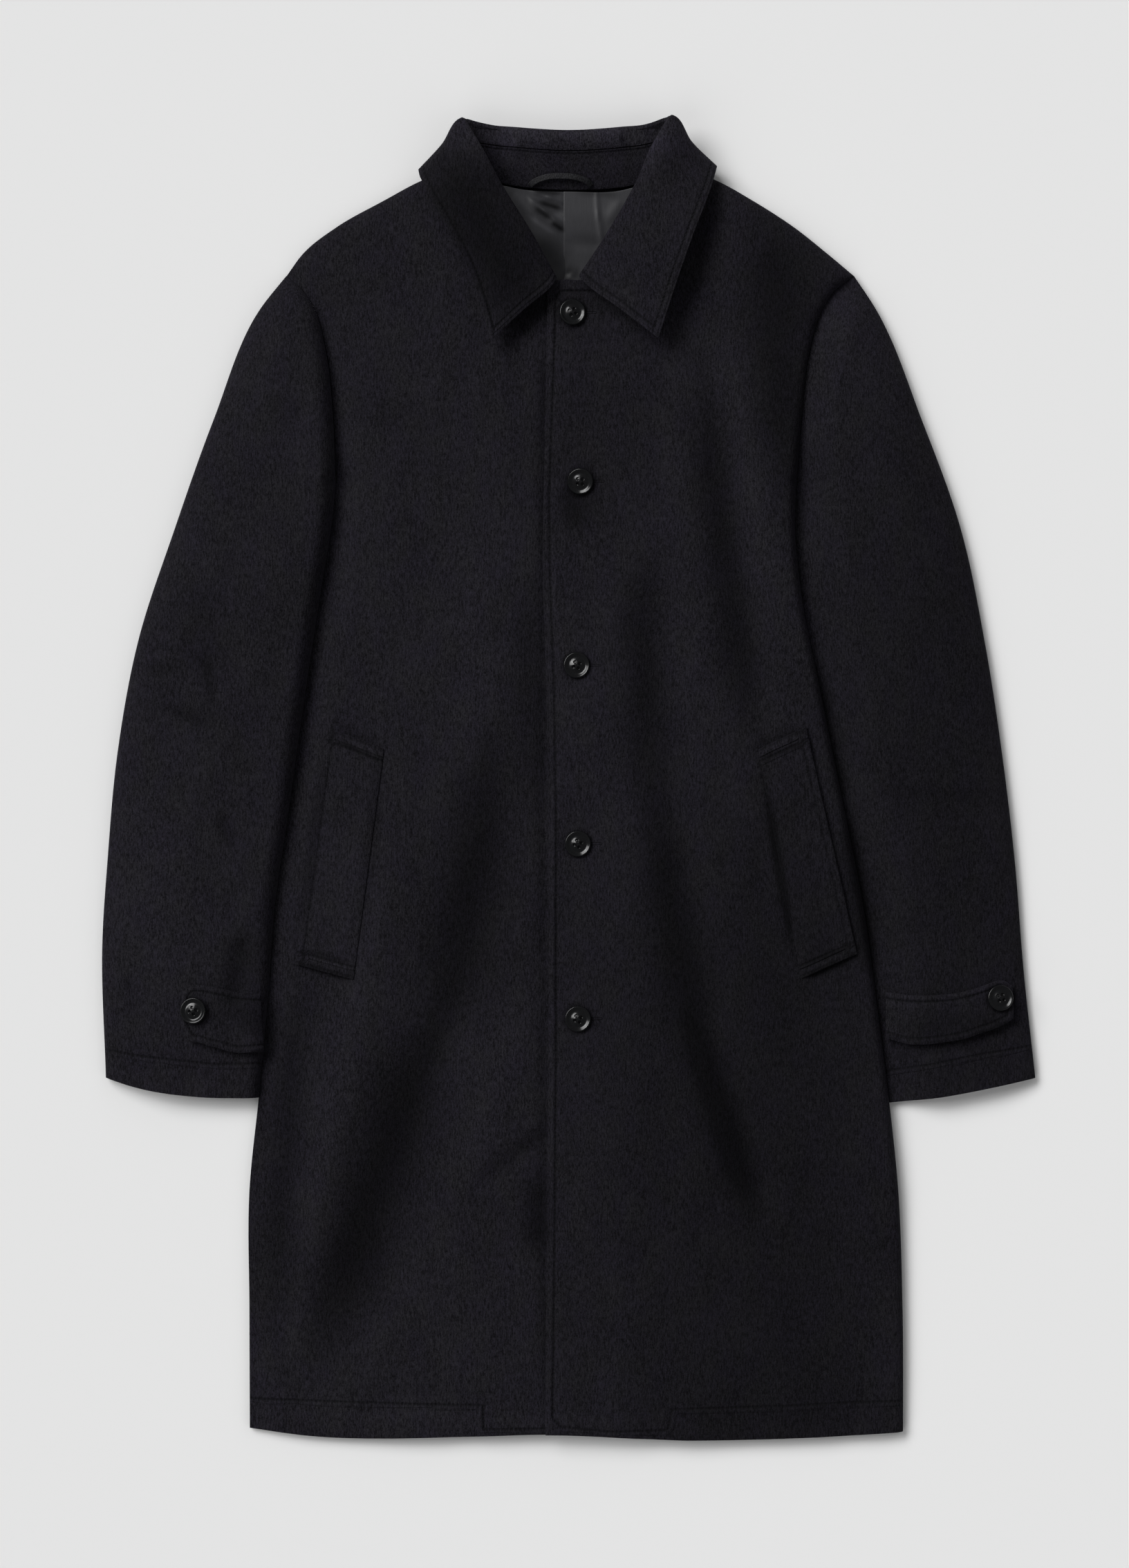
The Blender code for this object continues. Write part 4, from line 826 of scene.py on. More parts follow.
def body_top(x, y):
    """Height of the fronts' face: the crowned loft with its folds and waves, eased off where it
    would touch the back, and rolled down at the edges."""
    share = np.where(x < 0, BODY_CROWN["right"], BODY_CROWN["left"])
    crown = 1 - share * np.minimum((x / CROWN_REACH) ** 2, CROWN_MOST)
    z = smooth(y, BODY_LOFT["y"], BODY_LOFT["height"]) * crown + folds(x, y, BODY_FOLDS) + waves(x, y)
    z = (z + LEAST_LOFT + np.hypot(z - LEAST_LOFT, LOFT_EASE)) / 2
    edge_z = SEAM_Z + SEAM_LIP
    for side in ("right", "left"):
        away, share = nearest(x, y, along(armhole_points(side), EDGE_SHARES))
        seam = smooth(share, ARMHOLE_LOFT["share"], ARMHOLE_LOFT["height"])
        z = seam + (z - seam) * roll(away, ARMHOLE_ROLL[side], SIDE_SOFT[side])
        away, share = nearest(x, y, side_edge(side))
        z = edge_z + (z - edge_z) * roll(away, SIDE_ROLL[side], SIDE_SOFT[side])
        away, share = nearest(x, y, along(side_points(SHOULDER, side), EDGE_SHARES))
        low = edge_z + neck_raise(x, y)
        z = low + (z - low) * roll(away, SHOULDER_ROLL)
    return z


def left_edge_x(y):
    """Where the left front's edge is at a height y."""
    return smooth(y, LEFT_FRONT_EDGE["y"], LEFT_FRONT_EDGE["x"])


def right_edge_x(y):
    """Where the right front's hidden edge is at a height y."""
    return np.full(np.shape(y), RIGHT_FRONT_EDGE_X)


def left_front_top(x, y):
    """Height of the left front's face, lifted where it lies on the right front."""
    edge = left_edge_x(y)
    lap = 1 - ease(x, edge + OVERLAP_FLAT, edge + OVERLAP_FLAT + OVERLAP_FADE)
    return body_top(x, y) + OVERLAP_LIFT * lap


def sleeve_inner(side):
    """The sleeve's inner edge from the cuff to the underarm, beside the body's side fold."""
    out = -CREVICE if side == "right" else CREVICE
    cuff = side_points(SLEEVE_CUFF, side)[-1]
    y = np.linspace(cuff[1], BODY_SIDE["y"][-1], len(EDGE_SHARES))
    return np.stack([side_x(y, side) + out, y], axis=-1)


def sleeve_top(x, y, side):
    """Height of an upper sleeve's face: its loft and folds, rolled down at both edges."""
    outer = along(side_points(SLEEVE_OUTER, side), EDGE_SHARES)
    from_outer, share = nearest(x, y, outer)
    z = smooth(share, SLEEVE_LOFT["share"], SLEEVE_LOFT["height"]) + folds(x, y, SLEEVE_FOLDS)
    z = z + waves(x, y)
    edge_z = SEAM_Z + SEAM_LIP
    from_arm, arm_share = nearest(x, y, along(armhole_points(side), EDGE_SHARES))
    seam = smooth(arm_share, ARMHOLE_LOFT["share"], ARMHOLE_LOFT["height"])
    z = seam + (z - seam) * roll(from_arm, SLEEVE_HEAD_ROLL[side], SLEEVE_INNER_SOFT[side])
    from_inner, share = nearest(x, y, sleeve_inner(side))
    z = edge_z + (z - edge_z) * roll(from_inner, SLEEVE_INNER_ROLL[side], SLEEVE_INNER_SOFT[side])
    return edge_z + (z - edge_z) * roll(from_outer, SLEEVE_OUTER_ROLL)


def coons(bottom, top, start, stop, u, v):
    """Points of a patch between four edge curves: two ruled sheets less the corners' one."""
    low, high = bottom(u), top(u)
    near, far = start(v), stop(v)
    uu, vv = u[..., None], v[..., None]
    ruled = (1 - vv) * low + vv * high + (1 - uu) * near + uu * far
    zero, one = np.zeros(1), np.ones(1)
    corners = (1 - uu) * (1 - vv) * bottom(zero)[0] + uu * (1 - vv) * bottom(one)[0]
    corners = corners + (1 - uu) * vv * top(zero)[0] + uu * vv * top(one)[0]
    return ruled - corners


def edge_steps(radius, length):
    """Shares at which a quarter-round edge of this radius is cut, even in angle, from its edge."""
    angle = np.linspace(0, math.pi / 2, ROLL_STEPS + 1)
    return (1 - np.cos(angle)) * radius / length


def raised(flat, height):
    """Points in plan, raised to their height."""
    x, y = flat[..., 0], flat[..., 1]
    return np.stack([x, y, height(x, y)], axis=-1)


def lip(grid, axis, last, drop):
    """The grid with one more row past an edge, straight up or down from it."""
    edge = np.take(grid, [-1 if last else 0], axis=axis).copy()
    edge[..., 2] += drop
    return np.concatenate([grid, edge] if last else [edge, grid], axis=axis)


def close_corner(grid, row, column):
    """Joins the three points of a corner where two lips meet."""
    inner_row = 1 if row == 0 else -2
    grid[row, column] = grid[inner_row, column]
    inner_column = 1 if column == 0 else -2
    grid[row, inner_column] = grid[inner_row, column]
    return grid


def hem_curve(low_x, high_x):
    """The hem between two x, as a function of the share across it."""
    def curve(share):
        x = low_x + (high_x - low_x) * share
        return np.stack([x, smooth(x, HEM["x"], HEM["y"])], axis=-1)
    return curve


def body_side_curve(side):
    """The body's outer edge from the hem over the underarm to the shoulder point."""
    corner_y = HEM["y"][0] if side == "right" else HEM["y"][-1]

    def curve(share):
        low = np.clip(share / UNDERARM_SHARE, 0, 1)
        y = corner_y + (BODY_SIDE["y"][-1] - corner_y) * low
        below = np.stack([side_x(y, side), y], axis=-1)
        high = np.clip((share - UNDERARM_SHARE) / (1 - UNDERARM_SHARE), 0, 1)
        above = along(armhole_points(side), high)
        return np.where((share <= UNDERARM_SHARE)[..., None], below, above)
    return curve


def front_edge_curve(edge_x, neck):
    """A front's inner edge from the hem up to the neck and round to the shoulder."""
    foot_x = edge_x(HEM["y"][:1])[0]
    foot_y = smooth(np.array([foot_x]), HEM["x"], HEM["y"])[0]

    def curve(share):
        low = np.clip(share / NECK_SHARE, 0, 1)
        y = foot_y + (neck[0, 1] - foot_y) * low
        x = edge_x(y)
        x = x + (foot_x - edge_x(np.array([foot_y]))) * (1 - low)
        x = x + (neck[0, 0] - edge_x(neck[:1, 1])) * low
        below = np.stack([x, y], axis=-1)
        high = np.clip((share - NECK_SHARE) / (1 - NECK_SHARE), 0, 1)
        return np.where((share <= NECK_SHARE)[..., None], below, along(neck, high))
    return curve


def front_grid(side, edge_x, neck, height):
    """A front from its side fold to its front edge: a patch in plan, raised to its height."""
    outer = body_side_curve(side)
    inner = front_edge_curve(edge_x, neck)
    bottom = hem_curve(outer(np.zeros(1))[0, 0], inner(np.zeros(1))[0, 0])
    shoulder = side_points(SHOULDER, side)
    below = np.linspace(0, NECK_SHARE, FRONT_ROWS_BELOW + 1)
    above = np.linspace(NECK_SHARE, 1, FRONT_ROWS_ABOVE + 1)[1:]
    last = 1 - edge_steps(SHOULDER_ROLL, SHOULDER_RUN)[::-1]
    rows = np.concatenate([below, above[above < last[0] - ROW_CLEAR], last])
    lengths = np.linalg.norm(outer(rows) - inner(rows), axis=1)
    rim = edge_steps(SIDE_ROLL[side], 1.0)[None, :] / lengths[:, None]
    rest = np.linspace(0, 1, FRONT_COLUMNS + 1)[1:]
    u = np.concatenate([rim, rim[:, -1:] + (1 - rim[:, -1:]) * rest], axis=1)
    v = np.repeat(rows[:, None], u.shape[1], axis=1)
    flat = coons(bottom, lambda share: along(shoulder, share), outer, inner, u, v)
    grid = lip(raised(flat, height), 1, False, -SEAM_LIP)
    grid = lip(grid, 0, True, -SEAM_LIP)
    return close_corner(grid, -1, 0)


def turn_up(grid, axis, last, amount):
    """The grid with its edge turned up: drawn in by the turn's radius, then round and upright."""
    work = np.moveaxis(grid, axis, 0)
    work = work[::-1].copy() if last else work.copy()
    out = work[0] - work[1]
    out[..., 2] = 0.0
    out = out / np.linalg.norm(out, axis=-1, keepdims=True)
    rim = work[0].copy()
    work[0] = rim - out * BACK_TURN
    lift = np.zeros(rim.shape)
    lift[..., 2] = amount
    angle = np.linspace(0, math.pi / 2, TURN_STEPS + 1)[1:, None, None]
    arc = work[0] + BACK_TURN * (out * np.sin(angle) + lift * (1 - np.cos(angle)))
    upright = rim + lift * (SEAM_Z - SEAM_GAP)
    work = np.concatenate([upright[None], arc[::-1], work])
    work = work[::-1] if last else work
    return np.moveaxis(work, 0, axis)


def back_top_curve(share):
    """The back's upper edge: right shoulder, neck, left shoulder, a third of the share each."""
    right = along(side_points(SHOULDER, "right"), np.clip(share * 3, 0, 1))
    neck = along(columns(BACK_NECK, "x", "y"), np.clip(share * 3 - 1, 0, 1))
    left = along(side_points(SHOULDER, "left")[::-1], np.clip(share * 3 - 2, 0, 1))
    third = share[..., None] * 3
    return np.where(third < 1, right, np.where(third < 2, neck, left))


def back_grid():
    """The back, flat on the surface, its side and shoulder edges turned up to the fronts."""
    right, left = body_side_curve("right"), body_side_curve("left")
    bottom = hem_curve(right(np.zeros(1))[0, 0], left(np.zeros(1))[0, 0])
    rows = np.linspace(0, BACK_NECK_SHARE, BACK_ROWS + 1)
    rows = np.concatenate([rows, np.linspace(BACK_NECK_SHARE, 1, BACK_NECK_ROWS + 1)[1:]])
    u, v = np.meshgrid(np.linspace(0, 1, 3 * BACK_COLUMNS + 1), rows)
    flat = coons(bottom, back_top_curve, right, left, u, v)
    grid = raised(flat, neck_raise)
    below = 1 - ease(rows, UNDERARM_SHARE - SIDE_EASE, UNDERARM_SHARE + SIDE_EASE)
    grid = turn_up(grid, 1, False, below)
    grid = turn_up(grid, 1, True, below)
    beyond = np.abs(grid[-1, :, 0]) - NECK_HALF
    return turn_up(grid, 0, True, ease(beyond, -SEAM_LIP, SEAM_LIP))


def sleeve_patch(side, outer_steps, inner_steps, columns_between, rows):
    """Plan of a sleeve between its outer edge, inner edge, cuff and armhole."""
    out = -1.0 if side == "right" else 1.0
    inner_line = sleeve_inner(side)
    arm = armhole_points(side)[::-1]

    def outer(share):
        points = along(side_points(SLEEVE_OUTER, side), share)
        points[..., 0] += out * ARMHOLE_GAP * ease(share, *ARMHOLE_EASE)
        return points

    def inner(share):
        return along(inner_line, share)

    def cuff(share):
        return along(side_points(SLEEVE_CUFF, side), share)

    def armhole(share):
        points = along(arm, share)
        points[..., 0] += out * (ARMHOLE_GAP + (CREVICE - ARMHOLE_GAP) * ease(share, *ARMHOLE_EASE))
        return points

    v_rows = np.linspace(0, 1, rows + 1)
    lengths = np.linalg.norm(outer(v_rows) - inner(v_rows), axis=1)[:, None]
    first = outer_steps[None, :] / lengths
    last = 1 - (inner_steps[None, :] / lengths)[:, ::-1]
    between = np.linspace(0, 1, columns_between + 1)[1:-1]
    middle = first[:, -1:] + (last[:, :1] - first[:, -1:]) * between
    u = np.concatenate([first, middle, last], axis=1)
    v = np.repeat(v_rows[:, None], u.shape[1], axis=1)
    return coons(cuff, armhole, outer, inner, u, v)


def sleeve_upper_grid(side):
    """An upper sleeve, rounded down at both edges and at the armhole."""
    flat = sleeve_patch(
        side,
        edge_steps(SLEEVE_OUTER_CUT, 1.0),
        edge_steps(SLEEVE_INNER_ROLL[side], 1.0),
        SLEEVE_COLUMNS,
        SLEEVE_ROWS,
    )
    grid = lip(raised(flat, lambda x, y: sleeve_top(x, y, side)), 1, False, -SEAM_LIP)
    return lip(grid, 1, True, -SEAM_LIP)


def sleeve_under_grid(side):
    """An under sleeve, flat on the surface, its edges turned up to the upper sleeve."""
    steps = np.zeros(1)
    flat = sleeve_patch(side, steps, steps, UNDER_COLUMNS, UNDER_ROWS)
    grid = np.concatenate([flat, np.zeros(flat.shape[:2] + (1,))], axis=-1)
    upright = np.ones(len(grid))
    grid = turn_up(grid, 1, False, upright)
    return turn_up(grid, 1, True, upright)


def smooth_rows(at, knots, points):
    """For each row its own cubic curve through points at that row's knots, of even slope."""
    before = np.diff(knots, axis=1)
    step = np.diff(points, axis=1) / before[..., None]
    near, far = before[:, :-1, None], before[:, 1:, None]
    inner = (far * step[:, :-1] + near * step[:, 1:]) / (near + far)
    slopes = np.concatenate([step[:, :1], inner, step[:, -1:]], axis=1)
    low = (at[:, :, None] > knots[:, None, 1:-1]).sum(axis=2)
    row = np.arange(len(at))[:, None]
    span = before[row, low]
    t = np.clip((at - knots[row, low]) / span, 0, 1)[..., None]
    ends = points[row, low], points[row, low + 1], slopes[row, low], slopes[row, low + 1]
    return cubic(t, span[..., None], *ends)


def unit(vectors):
    """Vectors at a length of one."""
    return vectors / np.linalg.norm(vectors, axis=-1, keepdims=True)


def collar_line(sizes, place):
    """One of the collar's lines as points: its neck, roll or edge."""
    return columns(sizes, *(f"{place}_{axis}" for axis in "xyz"))


def collar_grid(split):
    """The collar's stand or fall: at each station a curve from the neck up to the roll, over an
    arc and down to the outer edge, cut at the seam between the two."""
    lines = (collar_line(COLLAR, place) for place in ("roll", "edge"))
    step = sum(np.linalg.norm(np.diff(line, axis=0), axis=1) for line in lines)
    run = np.concatenate([[0.0], np.cumsum(step)])
    at = np.linspace(0, run[-1], COLLAR_LENGTH_STEPS + 1)
    sizes = {**COLLAR, **COLLAR_FORM}
    size = {name: smooth(at, run, values, sharp=True) for name, values in sizes.items()}
    neck, top, edge = (collar_line(size, place) for place in ("neck", "roll", "edge"))
    inward = unit(unit(neck - top) + unit(edge - top))
    to_neck = unit(neck - top)
    across = unit(to_neck - (to_neck * inward).sum(1, keepdims=True) * inward)
    radius = size["radius"][:, None]
    centre = top + radius * inward
    reach = radius * math.cos(COLLAR_ROLL_TURN)
    spread = radius * math.sin(COLLAR_ROLL_TURN)
    arc_in = centre - reach * inward + spread * across
    arc_out = centre - reach * inward - spread * across
    belly = (arc_out + edge) / 2 + size["waist"][:, None] * across
    belly[:, 2] += size["belly"]
    points = np.stack([neck, (neck + arc_in) / 2, arc_in, top, arc_out, belly, edge], axis=1)
    knots = np.cumsum(np.linalg.norm(np.diff(points, axis=1), axis=2), axis=1)
    knots = np.concatenate([np.zeros((len(knots), 1)), knots], axis=1)
    seam = size["seam"] * knots[:, 3]
    low, high = (0 * seam, seam - COLLAR_SEAM_GAP) if split == "stand" else (seam, knots[:, -1])
    steps = STAND_STEPS if split == "stand" else FALL_STEPS
    grid = smooth_rows(low[:, None] + (high - low)[:, None] * np.linspace(0, 1, steps + 1), knots, points)
    grid[..., 2] = np.maximum(grid[..., 2], 0.0)
    return grid


def laid_on(height, x, y, rise):
    """Points lifted off a panel's face along its normal."""
    z = height(x, y)
    slope_x = (height(x + SLOPE_STEP, y) - height(x - SLOPE_STEP, y)) / (2 * SLOPE_STEP)
    slope_y = (height(x, y + SLOPE_STEP) - height(x, y - SLOPE_STEP)) / (2 * SLOPE_STEP)
    normal = unit(np.stack([-slope_x, -slope_y, np.ones(np.shape(x))], axis=-1))
    return np.stack([x, y, z], axis=-1) + normal * np.asarray(rise)[..., None]


def welt_grid(side, height, wall):
    """A pocket welt: two straight edges ruled between its four corners, laid on the front and
    sunk into it where its inner edge is sewn in."""
    corner = side_points(WELT, side)
    across, down = np.meshgrid(np.linspace(0, 1, WELT_COLUMNS + 1), np.linspace(0, 1, WELT_ROWS + 1))
    a, d = across[..., None], down[..., None]
    top = corner[0] + (corner[1] - corner[0]) * a
    low = corner[3] + (corner[2] - corner[3]) * a
    flat = top + (low - top) * d
    sunk = WELT_SINK * (1 - ease(across, 0.0, WELT_SINK_SHARE))
    return laid_on(height, flat[..., 0], flat[..., 1], LAID_GAP + wall - sunk)


def tab_grid(side, wall):
    """A cuff tab laid on the upper sleeve, from the inner edge to its rounded end."""
    knots = np.arange(len(TAB[side + "_x"]), dtype=float)
    at = knots[-1] * np.linspace(0, 1, TAB_STEPS + 1) ** TAB_CROWDING
    x = smooth(at, knots, TAB[side + "_x"])
    top = smooth(at, knots, TAB[side + "_top"])
    low = smooth(at, knots, TAB[side + "_low"])
    share = np.linspace(0, 1, TAB_COLUMNS + 1)
    y = low[:, None] + (top - low)[:, None] * share
    x = np.repeat(x[:, None], len(share), axis=1)
    rise = LAID_GAP + wall + TAB_LIFT * (1 - share)
    return laid_on(lambda px, py: sleeve_top(px, py, side), x, y, np.broadcast_to(rise, x.shape))


def loop_grid():
    """The hanger loop: a narrow tape of even width along its centre line."""
    line = along(columns(LOOP, "x", "y", "z"), np.linspace(0, 1, LOOP_STEPS + 1))
    run = np.gradient(line, axis=0)
    side = unit(np.stack([-run[:, 1], run[:, 0], np.zeros(len(run))], axis=-1))
    across = np.linspace(-0.5, 0.5, LOOP_COLUMNS + 1) * LOOP_WIDTH
    return line[:, None, :] + side[:, None, :] * across[None, :, None]


def lining_grid(low_x, high_x, rise, tilt, wrinkles, wool_wall, wall):
    """Half of the back lining between two x, laid on the back with its wrinkles, and sloping up
    from the pleat by its tilt."""
    x_line = np.linspace(low_x, high_x, LINING_COLUMNS + 1)
    share = np.linspace(0, 1, LINING_ROWS + 1)
    top = smooth(x_line, BACK_NECK["x"], BACK_NECK["y"]) - LINING_TOP_DROP
    y = LINING_LOW_Y + (top - LINING_LOW_Y)[None, :] * share[:, None]
    x = np.repeat(x_line[None, :], len(share), axis=0)
    z = neck_raise(x, y) + wool_wall + LINING_GAP + wall + rise + folds(x, y, wrinkles)
    z = z + tilt * np.maximum(PLEAT_X - x, 0.0)
    return np.stack([x, y, z], axis=-1)


def stitch_field(grid, lines, faint=()):
    """For each point its signed distance in mm to the nearest row of stitches, the run along
    that row in mm, and how far in mm it lies beyond the row's ends or out of its reach; faint
    rows, which pull the cloth less, count as a little beyond all along."""
    flat = grid[..., :2].reshape(-1, 2)
    best = np.full(len(flat), np.inf)
    made = np.zeros((len(flat), 3))
    for number, line in enumerate(lines):
        start, way = line[:-1], np.diff(line, axis=0)
        length = np.linalg.norm(way, axis=1)
        before = np.concatenate([[0.0], np.cumsum(length)])[:-1]
        t = ((flat[:, None, :] - start) * way).sum(2) / length ** 2
        held = np.clip(t, 0, 1)
        gap = flat[:, None, :] - start - held[..., None] * way
        away = np.linalg.norm(gap, axis=2)
        pick = away.argmin(axis=1)
        row = np.arange(len(flat))
        off = away[row, pick]
        signed = off * np.sign(way[pick, 0] * gap[row, pick, 1] - way[pick, 1] * gap[row, pick, 0])
        past = np.where(pick == 0, -t[row, pick], 0.0)
        past = np.maximum(past, np.where(pick == len(way) - 1, t[row, pick] - 1, 0.0)) * length[pick]
        past = np.maximum(past, FAINT_ROW if number in faint else 0.0)
        past = np.where(off > STITCH_REACH, FAR_FROM_STITCH, past)
        nearer = off < best
        best = np.where(nearer, off, best)
        here = np.stack([signed, before[pick] + held[row, pick] * length[pick], past], axis=-1)
        made = np.where(nearer[:, None], here, made)
    return made.reshape(grid.shape) * MM


def no_stitches(grid):
    """A stitch field for a piece that has none: every point is out of reach of a row."""
    made = np.zeros(grid.shape)
    made[..., 2] = FAR_FROM_STITCH * MM
    return made


def edge_field(inside, run, distance, beyond=0.0):
    """A stitch field of one row that keeps a distance in from an edge."""
    signed = inside - distance
    past = np.where(np.abs(signed) > STITCH_REACH, FAR_FROM_STITCH, beyond)
    return np.stack([signed, run, past], axis=-1) * MM


def lengths_along(grid, axis):
    """The run along each grid line from its start."""
    step = np.linalg.norm(np.diff(grid, axis=axis), axis=-1)
    zero = np.zeros_like(np.take(step, [0], axis=axis))
    return np.cumsum(np.concatenate([zero, step], axis=axis), axis=axis)


def collar_stitch(grid):
    """The fall's row of stitches, an even distance in from its outer and leading edges."""
    down = lengths_along(grid, 1)
    round_neck = lengths_along(grid, 0)
    from_edge = down[:, -1:] - down
    inside = np.minimum(from_edge, np.minimum(round_neck, round_neck[-1:] - round_neck))
    return edge_field(inside, np.where(inside == from_edge, round_neck, down), COLLAR_STITCH_IN)


def put_mesh(name, points, faces, material):
    """A mesh object at the origin from points and faces, smooth shaded, of one material."""
    mesh = bpy.data.meshes.new(name)
    mesh.from_pydata(points.reshape(-1, 3).tolist(), [], faces)
    mesh.polygons.foreach_set("use_smooth", np.ones(len(mesh.polygons), bool))
    mesh.materials.append(material)
    piece = bpy.data.objects.new(name, mesh)
    bpy.context.scene.collection.objects.link(piece)
    return piece


def grid_quads(rows, cols, flip):
    """The four-sided faces of a grid of points."""
    index = np.arange(rows * cols).reshape(rows, cols)
    corners = [index[:-1, :-1], index[:-1, 1:], index[1:, 1:], index[1:, :-1]]
    return np.stack(corners[::-1] if flip else corners, axis=-1).reshape(-1, 4)


def button_shade(x, y):
    """How far the cloth lies in the shade of a button: full under it, gone a little beyond its rim."""
    away = np.hypot(x[..., None] - BUTTONS["x"], y[..., None] - BUTTONS["y"]).min(axis=-1)
    return BUTTON_SHADE * (1 - ease(away, *BUTTON_SHADE_REACH))


def lay_cloth(node, grid, wall, material, flip=False, stitch=None, nap=None, soft_edge=EDGE_ROUND):
    """A cloth piece in place of its solid: the grid is its face, the wall lies behind it along
    the normals, and its cut edges are rounded."""
    faces = grid_quads(*grid.shape[:2], flip).tolist()
    piece = put_mesh(node + "_cloth", grid, faces, material)
    field = no_stitches(grid) if stitch is None else stitch
    attribute = piece.data.attributes.new("stitch", "FLOAT_VECTOR", "POINT")
    attribute.data.foreach_set("vector", field.astype(np.float32).ravel())
    x, y = grid[..., 0], grid[..., 1]
    # Painted shade and painted light: the strokes' darkening and lightening, less the painted shade under
    # each button, kept as the nap attribute by which the material scales its colour
    brushed = np.zeros(x.shape) if nap is None else folds(x, y, nap) - button_shade(x, y)
    attribute = piece.data.attributes.new("nap", "FLOAT", "POINT")
    attribute.data.foreach_set("value", brushed.astype(np.float32).ravel())
    weld = piece.modifiers.new("corner_weld", "WELD")
    weld.merge_threshold = WELD_REACH
    thick = piece.modifiers.new("cloth_wall", "SOLIDIFY")
    thick.thickness = wall
    thick.offset = -1.0
    thick.use_even_offset = True
    thick.use_quality_normals = True
    rounded = piece.modifiers.new("folded_edge", "BEVEL")
    rounded.width = soft_edge
    rounded.segments = EDGE_SEGMENTS
    rounded.limit_method = "ANGLE"
    rounded.angle_limit = EDGE_ANGLE
    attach(piece, "root")
    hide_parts(node)
    return piece


def plug(tree, node, inputs):
    """Gives a node's inputs their values, or links them where the value is a socket."""
    for name, value in inputs.items():
        if isinstance(value, bpy.types.NodeSocket):
            tree.links.new(value, node.inputs[name])
        else:
            node.inputs[name].default_value = value


def add(tree, kind, inputs=None, **settings):
    """A shader node of a kind with its settings; each input takes a value or a link from a socket."""
    made = tree.nodes.new("ShaderNode" + kind)
    for name, value in settings.items():
        setattr(made, name, value)
    plug(tree, made, inputs or {})
    return made


def calc(tree, operation, *values):
    """The result of a sum on one to three values."""
    return add(tree, "Math", dict(enumerate(values)), operation=operation).outputs[0]


def mapped(tree, value, low, high, to_low=0.0, to_high=1.0):
    """A value between two bounds, as a share or as a value between two others."""
    inputs = {"Value": value, "From Min": low, "From Max": high, "To Min": to_low, "To Max": to_high}
    return add(tree, "MapRange", inputs).outputs[0]


def blend(tree, share, *colours):
    """A colour between two, each of them a colour or a link from a socket."""
    low, high = (part if isinstance(part, bpy.types.NodeSocket) else (*part, 1.0) for part in colours)
    return add(tree, "Mix", {0: share, 6: low, 7: high}, data_type="RGBA").outputs[2]


def scaled(tree, colour, amount):
    """A colour made lighter or darker."""
    return add(tree, "VectorMath", {0: colour, "Scale": amount}, operation="SCALE").outputs[0]


def noise(tree, place, size, detail, **more):
    """Uneven grain of a size across, along and through."""
    grain = add(tree, "Mapping", {"Vector": place, "Scale": tuple(1 / length for length in size)})
    inputs = {"Vector": grain.outputs[0], "Scale": 1.0, "Detail": detail, **more}
    return add(tree, "TexNoise", inputs).outputs[0]


def bump(tree, height, strength, distance, **more):
    """A normal that leans with a height."""
    inputs = {"Strength": strength, "Distance": distance, "Height": height, **more}
    return add(tree, "Bump", inputs).outputs[0]


def bell(tree, distance, width):
    """A bell across a distance, of a half width."""
    part = calc(tree, "DIVIDE", distance, width)
    return calc(tree, "EXPONENT", calc(tree, "MULTIPLY", calc(tree, "MULTIPLY", part, part), -1.0))


def painted_lightness(tree, least):
    """How light the cloth is under the painted shade and painted light of its strokes, never under the
    least.
    """
    nap = add(tree, "Attribute", attribute_name="nap").outputs["Fac"]
    return calc(tree, "MAXIMUM", calc(tree, "ADD", nap, 1.0), least)


def new_material(name):
    """A node material, its tree, its Principled shader and the place on the object."""
    made = bpy.data.materials.new(name)
    made.use_nodes = True
    tree = made.node_tree
    return made, tree, tree.nodes["Principled BSDF"], add(tree, "TexCoord").outputs["Object"]


